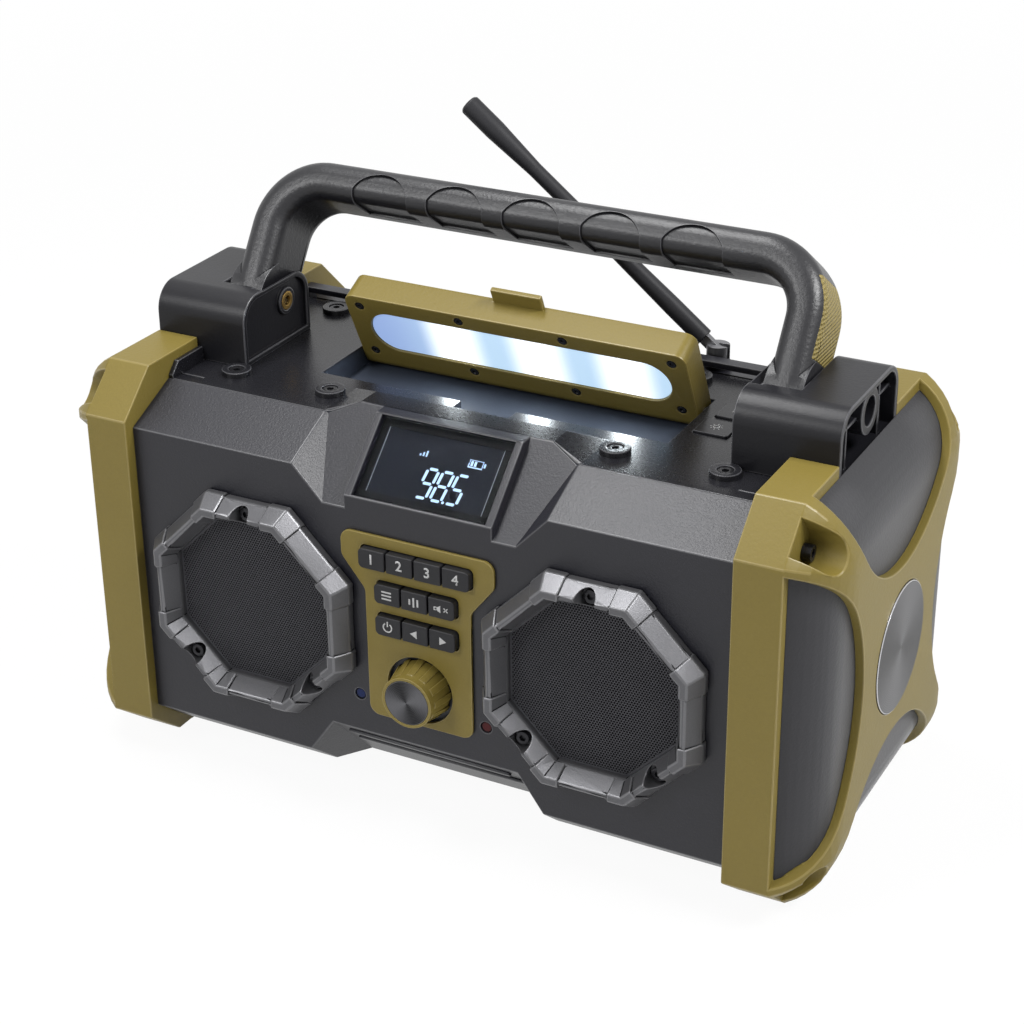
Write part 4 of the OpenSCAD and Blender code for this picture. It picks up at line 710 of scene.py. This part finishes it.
# Painted shade: a near-black sheet behind the grille holes; its threads are a woven pattern.
scrim_shade_cloth = Finish("scrim_shade_cloth", (0.0035, 0.0035, 0.0040), 0.9, {"Specular IOR Level": 0.03})
warp = scrim_shade_cloth.wave(scrim_shade_cloth.axis("X") * THREAD_TURNS)
weft = scrim_shade_cloth.wave(scrim_shade_cloth.axis("Z") * THREAD_TURNS)
scrim_shade_cloth.feed("Base Color", scrim_shade_cloth.shades(0.5 + 0.25 * warp + 0.25 * weft, 0.4))
scrim = disc(0, 0, CORNER, SIDES, HALF_TURN)
round_corners(scrim, SHEET_RIM)
cloth = scrim.modifiers.new("cloth", "SOLIDIFY")
cloth.thickness = SCRIM_T
apply_modifiers(scrim)
for side, word in BOTH:
    hung = placed_copy(scrim, "scrim_" + word, at_speaker(side, SCRIM_Y))
    settle(hung, scrim_shade_cloth, "cabinet")
bpy.data.objects.remove(scrim)
print("scrims:", len(BOTH))

# %% [markdown]
# Marks on keys are printed in one layer: a plain numeral, or a sign made of discs, rings, triangles and bars.
# Each one is set on the middle of its key's face and rides on that key.

# %% The marks
MARK_H = 0.0046
POWER_R = 0.0023
POWER_LINE = 0.0006
ARROW_R = 0.0021
SKIP_R = 0.0016
SUN_R = 0.0014
RAY_R = 0.0024
RAYS = 8
LEFT = math.radians(90)
RIGHT = math.radians(-90)
CROSS = (math.radians(45), math.radians(-45))
mark_white = moulded("mark_print", (0.34, 0.34, 0.34), 0.55, 0.0004, 0.00001)


def key_face(node):
    low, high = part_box(node)
    spot = ((low[0] + high[0]) / 2, low[1], (low[2] + high[2]) / 2)
    return Matrix.Translation(spot) @ STANDING


def key_top(node):
    low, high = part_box(node)
    return Matrix.Translation(((low[0] + high[0]) / 2, (low[1] + high[1]) / 2, high[2]))


def power_mark():
    arc = hollow(disc(0, 0, POWER_R), POWER_LINE)
    pick(arc, lambda p: p.y > 0 and abs(p.x) < 0.5 * p.y)
    bpy.ops.mesh.delete(type="VERT")
    bpy.ops.object.mode_set(mode="OBJECT")
    return [arc, bar(0, 0.0016, POWER_LINE, 0.0024)]


def mute_mark():
    horn = [bar(-0.0027, 0, 0.0014, 0.0016), disc(-0.0012, 0, 0.0019, 3, LEFT)]
    return horn + [bar(0.0022, 0, 0.0005, 0.0026, turned) for turned in CROSS]


def ray(k):
    turned = 2 * math.pi * k / RAYS
    return bar(-RAY_R * math.sin(turned), RAY_R * math.cos(turned), 0.0004, 0.0010, turned)


marks = {"key_" + sign: [numeral(sign, MARK_H)] for sign in "1234"}
marks.update({
    "key_mode": [bar(0, z, 0.0046, 0.0007) for z in (-0.0016, 0, 0.0016)],
    "key_tone": [bar(x, 0, 0.0008, h) for x, h in ((-0.0019, 0.0026), (0, 0.0044), (0.0019, 0.0034))],
    "key_mute": mute_mark(),
    "key_power": power_mark(),
    "key_back": [disc(0, 0, ARROW_R, 3, LEFT)],
    "key_forward": [disc(0, 0, ARROW_R, 3, RIGHT)],
})
for node, parts in marks.items():
    laid("mark_" + node, parts, key_face(node), mark_white, node + "_cap")

top_marks = {
    "lamp_key": [hollow(disc(0, 0, SUN_R), 0.0004)] + [ray(k) for k in range(RAYS)],
    "scan_key": [disc(x, 0, SKIP_R, 3, RIGHT) for x in (-0.0012, 0.0012)],
}
for node, parts in top_marks.items():
    laid("mark_" + node, parts, key_top(node), mark_white, node + "_cap")
print("marks:", len(marks) + len(top_marks))

# %% [markdown]
# Under the controls the front's lower edge is cut back at a slope, and two long ribs stiffen that cut. In the
# mould they are milled slots with round ends. Here a bar with round corners is thickened and its rim rounded.

# %% The sill's ribs
RIB_SLOPE = math.radians(135)
RIB_PROUD = 0.0016
RIB_SINK = 0.0004
RIB_RIM = 0.0006
RIB_END = 0.45
RIM_LIMIT = math.radians(60)
RIM_SMOOTH = math.radians(40)
RIBS = {"upper": (0.0000, -0.0762, 0.0794, 0.0036), "lower": (0.0030, -0.0688, 0.0850, 0.0040)}
SILL_SUM = -0.0400

for word, (x, y, length, height) in RIBS.items():
    rib = bar(0, 0, length, height, corner_r=RIB_END * height)
    spot = Matrix.Translation((x, y, SILL_SUM - y)) @ Matrix.Rotation(RIB_SLOPE, 4, "X")
    rib = laid("sill_rib_" + word, [rib], spot, front_black, "cabinet", RIB_PROUD, RIB_SINK)
    rounded = rib.modifiers.new("rounded rim", "BEVEL")
    rounded.width = RIB_RIM
    rounded.segments = 2
    rounded.angle_limit = RIM_LIMIT
    apply_modifiers(rib)
    alone(rib)
    bpy.ops.object.shade_smooth_by_angle(angle=RIM_SMOOTH)
print("ribs:", len(RIBS))

# %% [markdown]
# The display sits on a slope under the hood. From the outside in there is a clear window in a black rim, an
# air gap, and a dark glass cell. A pale ring round the cell's cut edge is a painted highlight, the thin line
# of light such an edge shows. The figures glow pale blue. They are drawn as the real cell draws them: one bar
# with pointed ends, repeated up to seven times for a figure.

# %% The window and the glass cell
DISPLAY_FOOT = Vector((0, -0.081, 0.147))
ON_SLOPE = Matrix.Translation(DISPLAY_FOOT) @ Matrix.Rotation(math.radians(43), 4, "X")
WINDOW_MID = 0.02351
PANE_OUT = 0.0019
PANE_T = 0.0009
SURROUND_OUT = 0.0014
SURROUND_W = 0.0034
SURROUND_T = 0.0004
CELL_MID = 0.0231
CELL_TOP = 0.0013
CELL_T = 0.00015
CELL_SINK = 0.00005
LINE_MID = 0.0229
LINE_W = 0.00022
LINE_T = 0.00008
ON_CELL = CELL_TOP + 0.0001
CLEAR = {"Transmission Weight": 1.0, "IOR": 1.03}
window_clear = Finish("clear_window", (0.92, 0.95, 0.97), 0.04, CLEAR)
window_clear.feed("Roughness", 0.02 + 0.05 * window_clear.noise(0.012, 4.0))
cell_black = moulded("cell_glass", (0.0060, 0.0070, 0.0110), 0.30, 0.0012, 0.000005, 0.2, DEEP)
surround_black = moulded("display_surround", (0.003, 0.003, 0.0035), 0.45, 0.0008, 0.00002, 0.2, DEEP)
cell_edge_highlight = moulded("cell_edge_highlight", (0.30, 0.32, 0.35), 0.30, 0.0006, 0.00001)


def in_display(name, parts, up, out, finish, thick, sink=0):
    spot = ON_SLOPE @ Matrix.Translation((0, up, out))
    return laid(name, parts, spot, finish, "cabinet", thick, sink)


pane = bar(0, 0, 0.0616, 0.0366, corner_r=0.0006)
pane = in_display("window_pane", [pane], WINDOW_MID, PANE_OUT, window_clear, PANE_T)
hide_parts("display_window")
edging = hollow(bar(0, 0, 0.0614, 0.0364), SURROUND_W)
in_display("window_surround", [edging], WINDOW_MID, SURROUND_OUT, surround_black, SURROUND_T)
tile = bar(0, 0, 0.0560, 0.0335)
in_display("cell_tile", [tile], CELL_MID, CELL_TOP, cell_black, CELL_T, CELL_SINK)
# Painted highlight: a pale ring round the cell's cut edge.
line = hollow(bar(0, 0, 0.0538, 0.0325), LINE_W)
in_display("cell_line", [line], LINE_MID, ON_CELL, cell_edge_highlight, LINE_T)
print("window and cell placed")

# %% The glowing figures
FIGURE_W = 0.0050
FIGURE_H = 0.0130
FIGURE_LINE = 0.0012
FIGURE_GAP = 0.0011
FIGURE_LEAN = 0.12
FIGURE_MID = -0.0057
FIGURE_T = 0.00012
FIGURES = {"9": -0.0014, "8": 0.0056, "5": 0.0126}
STROKES = {"8": "abcdefg", "9": "abcdfg", "5": "acdfg"}
POINT = (0.0084, 0.0006)
SIGN_Y = 0.0068
figure_glow = Finish("figure_glow", (0.20, 0.28, 0.40), 0.5, {"Emission Strength": 1.0})
cool_light = figure_glow.mix((0.26, 0.38, 0.62), (0.44, 0.58, 0.82), figure_glow.noise(0.002))
figure_glow.feed("Emission Color", cool_light)


def pointed_bar(x, y, length, turned):
    radius = FIGURE_LINE / math.sqrt(3)
    piece = disc(0, 0, radius, 6)
    for way in (-1, 1):
        pick(piece, lambda p: p.y * way > 0)
        bpy.ops.transform.translate(value=(0, way * (length / 2 - radius), 0))
        bpy.ops.object.mode_set(mode="OBJECT")
    piece.data.transform(Matrix.Translation((x, y, 0)) @ Matrix.Rotation(turned, 4, "Z"))
    return piece


def figure(sign, x, y):
    half_w = FIGURE_W / 2
    half_h = FIGURE_H / 2
    quarter = FIGURE_H / 4
    flat = math.pi / 2
    places = {
        "a": (0, half_h, FIGURE_W, flat),
        "b": (half_w, quarter, half_h, 0),
        "c": (half_w, -quarter, half_h, 0),
        "d": (0, -half_h, FIGURE_W, flat),
        "e": (-half_w, -quarter, half_h, 0),
        "f": (-half_w, quarter, half_h, 0),
        "g": (0, 0, FIGURE_W, flat),
    }
    lean = Matrix(((1, FIGURE_LEAN, 0, x), (0, 1, 0, y), (0, 0, 1, 0), (0, 0, 0, 1)))
    parts = []
    for stroke in STROKES[sign]:
        px, py, length, turned = places[stroke]
        part = pointed_bar(px, py, length - FIGURE_GAP, turned)
        part.data.transform(lean)
        parts.append(part)
    return parts


glowing = []
for sign, x in FIGURES.items():
    glowing += figure(sign, x, FIGURE_MID)
glowing.append(disc(POINT[0], FIGURE_MID - FIGURE_H / 2, POINT[1], 16))
glowing.append(hollow(bar(0.0166, SIGN_Y, 0.0068, 0.0038), 0.0005))
glowing.append(bar(0.0206, SIGN_Y, 0.0008, 0.0018))
glowing += [bar(x, SIGN_Y, 0.0010, 0.0022) for x in (0.0147, 0.0163)]
glowing += [bar(-0.0090 + 0.0014 * k, 0.0060 + 0.0004 * k, 0.0007, 0.0010 + 0.0008 * k) for k in range(3)]
figures = in_display("figures", glowing, CELL_MID, ON_CELL, figure_glow, FIGURE_T)
print("figures and signs:", len(figures.data.polygons), "faces")

# %% [markdown]
# The work lamp is switched on. Three diodes sit behind an opal strip, so the strip is brightest in front of
# each and falls off to a cool dusk between them. The glow is an emission colour that depends on the distance
# to the nearest diode, and it lights the satin panel below by itself.

# %% The lamp's opal strip
DIODE_X = (-0.031, 0.010, 0.051)
DIODE_LINE = (0.0086, 0.1874)
BAND_FADE = (0.018, 0.003)
HEART_FADE = (0.009, 0.001)
HEART_COLOUR = (0.86, 0.95, 1.0)
DUSK_FADE = (-0.070, -0.020)
LAMP_LEVEL = 50.0
opal = Finish("opal_strip", (0.20, 0.22, 0.26), 0.35, {"Emission Strength": LAMP_LEVEL})
along = opal.axis("X")


def dimmed(*colour):
    return tuple(c / LAMP_LEVEL for c in colour)


bands = []
hearts = []
for x in DIODE_X:
    off = opal.node("ShaderNodeMath", {"operation": "ABSOLUTE"}, {0: along - x})
    bands.append(opal.smooth(off, *BAND_FADE))
    hearts.append(opal.smooth(opal.away((x, *DIODE_LINE)), *HEART_FADE))
veil = opal.clamp(bands[0] + bands[1] + bands[2])
core = opal.clamp(hearts[0] + hearts[1] + hearts[2])
grain = opal.noise(0.0015, 3.0)
right_half = opal.smooth(along, *DUSK_FADE)
dusk = opal.mix(dimmed(0.24, 0.36, 0.66), dimmed(0.48, 0.68, 0.86), right_half * (0.9 + 0.1 * grain))
glow_of_strip = opal.mix(dusk, dimmed(1.25, 1.30, 1.35), veil)
opal.feed("Emission Color", opal.mix(glow_of_strip, HEART_COLOUR, core ** 1.5))
opal.feed("Roughness", 0.32 + 0.08 * grain)
dressed("lamp_diffuser", opal, "lamp_white", 0.0005)
print("diodes:", len(DIODE_X))

# %% [markdown]
# Two small indicator lenses sit left and right of the knob. Each is a clear dome over a coloured diode:
# strong colour and a shiny coat. A darker ring where the dome meets its hole is painted shade, and a faint
# glow in its middle is a painted glint.

# %% Indicator lenses
LENS_PLACE = (0.0305, -0.0804, 0.059)
LENS_FADE = (0.0026, 0.0012)
LENS_ROUND = 0.0004
LENS = {"Coat Weight": 0.05, "Specular IOR Level": 0.15, "Emission Strength": 0.10}


def lens_finish(name, colour, side):
    finish = Finish(name, colour, 0.12, LENS)
    centre = (side * LENS_PLACE[0], *LENS_PLACE[1:])
    glint_and_rim_shade = finish.smooth(finish.away(centre), *LENS_FADE)
    # Painted shade: the dome is darker at its rim; painted glint: it glows faintly in the middle.
    shaded_rim_colour = tuple(c * 0.25 for c in colour)
    finish.feed("Base Color", finish.mix(shaded_rim_colour, colour, glint_and_rim_shade))
    finish.feed("Emission Color", finish.mix((0, 0, 0), colour, glint_and_rim_shade))
    finish.feed("Roughness", 0.10 + 0.05 * finish.noise(0.0006))
    return finish


blue_lens = lens_finish("blue_lens", (0.004, 0.012, 0.060), -1)
red_lens = lens_finish("red_lens", (0.045, 0.004, 0.005), 1)
dressed("indicator_left", blue_lens, "blue_lens", LENS_ROUND, 3)
dressed("indicator_right", red_lens, "red_lens", LENS_ROUND, 3)
print("indicators: 2")

# %% [markdown]
# Inside the case nothing needs rounding, but every solid still gets the stuff it is made of: pressed paper
# cones, pressed steel baskets, lacquered boards and a shrink-wrapped battery.

# %% What is inside
TRACK_TURNS = (2500, 1700)
TRACK_EDGE = (0.1, 0.25)


def pressed_paper():
    finish = Finish("cone_paper", (0.006, 0.006, 0.006), 0.8, {"Specular IOR Level": 0.04})
    fibre = finish.noise(0.0015, 6.0)
    finish.feed("Base Color", finish.shades(fibre, 0.5))
    finish.feed("Roughness", 0.7 + 0.2 * fibre)
    finish.bump(fibre, 0.0002)
    return finish


def lacquered_board(name, colour):
    finish = Finish(name, colour, 0.35)
    tracks = [finish.wave(finish.axis(axis) * turns) for axis, turns in zip("XZ", TRACK_TURNS)]
    trace = finish.smooth(tracks[0] * tracks[1], *TRACK_EDGE)
    speck = finish.noise(0.002, 4.0)
    finish.feed("Base Color", finish.shades(0.5 * trace + 0.5 * speck, 0.3))
    finish.feed("Roughness", 0.3 + 0.15 * speck)
    finish.bump(trace, 0.00004)
    return finish


def shrink_wrap():
    finish = Finish("battery_wrap", (0.02, 0.07, 0.22), 0.3, {"Coat Weight": 0.3})
    wrinkle = finish.noise(0.006, 5.0)
    finish.feed("Base Color", finish.shades(wrinkle, 0.2))
    finish.feed("Roughness", 0.22 + 0.2 * wrinkle)
    finish.bump(wrinkle, 0.0003)
    return finish


basket_steel = painted_metal("pressed_basket", (0.05, 0.05, 0.055), 0.5, 0.2, DULL)
paper = pressed_paper()
board_green = lacquered_board("board_green", (0.02, 0.10, 0.04))
board_white = lacquered_board("board_white", (0.55, 0.55, 0.52))
wrap = shrink_wrap()
INNER = {
    "driver_left": basket_steel, "driver_right": basket_steel, "cone_left": paper, "cone_right": paper,
    "key_board": board_green, "main_board": board_green, "lamp_board": board_white, "encoder": bright_steel,
    "encoder_shaft": bright_steel, "display_module": cell_black, "battery_pack": wrap,
}
for node, finish in INNER.items():
    for material_slot in frame["nodes"][node].material_slots:
        material_slot.material = finish.material
print("inner solids:", len(INNER))

# %% [markdown]
# The light is that of a small product studio: a long soft box overhead at the left, one high at the right and
# two weaker ones in front and at the right side, in an even world. The floor is pale and keeps the shadow.
# The camera, and every mirror and lens, sees the backdrop as white.

# %% Floor and world
FLOOR_SIZE = 12
FLOOR_FADE = (0.5, 1.6)
FLOOR_WHITE = 0.94
WORLD_LEVEL = 0.29


def seen_white(finish):
    paths = [finish.node("ShaderNodeLightPath", out=kind) for kind in
             ("Is Camera Ray", "Is Glossy Ray", "Is Transmission Ray")]
    return finish.clamp(paths[0] + paths[1] + paths[2])


bpy.ops.mesh.primitive_plane_add(size=FLOOR_SIZE, location=(0, 0, 0))
floor = bpy.context.active_object
floor.name = "floor"
floor_paint = Finish("floor_paint", (0.86, 0.86, 0.86), 0.8)
glow = floor_paint.node("ShaderNodeEmission", None, {"Color": (1, 1, 1, 1), "Strength": 1.0})
surface = Wire(floor_paint, floor_paint.shader.outputs[0])
far = floor_paint.smooth(floor_paint.away((0, 0, 0)), *FLOOR_FADE)
white_share = (FLOOR_WHITE + (1 - FLOOR_WHITE) * far) * seen_white(floor_paint)
both = floor_paint.node("ShaderNodeMixShader", None, {0: white_share, 1: surface, 2: glow})
floor_paint.tree.links.new(both.socket, floor_paint.tree.nodes["Material Output"].inputs["Surface"])
floor.data.materials.append(floor_paint.material)
floor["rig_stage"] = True


class Backdrop(Finish):
    """The world, with the same node method as a material."""

    def __init__(self, name):
        world = bpy.data.worlds.new(name)
        bpy.context.scene.world = world
        world.use_nodes = True
        self.tree = world.node_tree
        self.shader = self.tree.nodes["Background"]


backdrop = Backdrop("studio")
backdrop.shader.inputs["Color"].default_value = (1, 1, 1, 1)
backdrop.feed("Strength", WORLD_LEVEL + (1 - WORLD_LEVEL) * seen_white(backdrop))
print("world level", WORLD_LEVEL)

# %% [markdown]
# A soft box is a lit rectangle. Each line gives its place, what it looks at, the way its long side runs, its
# two sizes and its power in watts.

# %% Soft boxes
SOFT_BOXES = {
    "top_box": ((-0.30, -0.05, 1.22), (0, 0, 0.15), (0, 1, 0), (0.8, 0.22), 11),
    "side_box": ((0.92, 0.00, 1.12), (0, 0, 0.12), (0, 1, 0), (0.75, 0.25), 18),
    "front_box": ((-0.60, -1.05, 0.95), (0, 0, 0.10), (1, 0, 0), (0.5, 0.5), 9),
    "right_box": ((1.40, -0.50, 0.50), (0, 0, 0.10), (0, 1, 0), (0.8, 0.8), 0.5),
}
for name, (place, aim, long_side, size, power) in SOFT_BOXES.items():
    bpy.ops.object.light_add(type="AREA", location=place)
    lamp = bpy.context.active_object
    lamp.name = name
    lamp.data.shape = "RECTANGLE"
    lamp.data.size = size[0]
    lamp.data.size_y = size[1]
    lamp.data.energy = power
    back = (Vector(place) - Vector(aim)).normalized()
    side = (Vector(long_side) - back * back.dot(long_side)).normalized()
    lamp.rotation_euler = Matrix((side, back.cross(side), back)).transposed().to_euler()
print("lights:", len(SOFT_BOXES))

# %% [markdown]
# Last, the dressed model's box is measured.

# %% Size and finish
low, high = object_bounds()
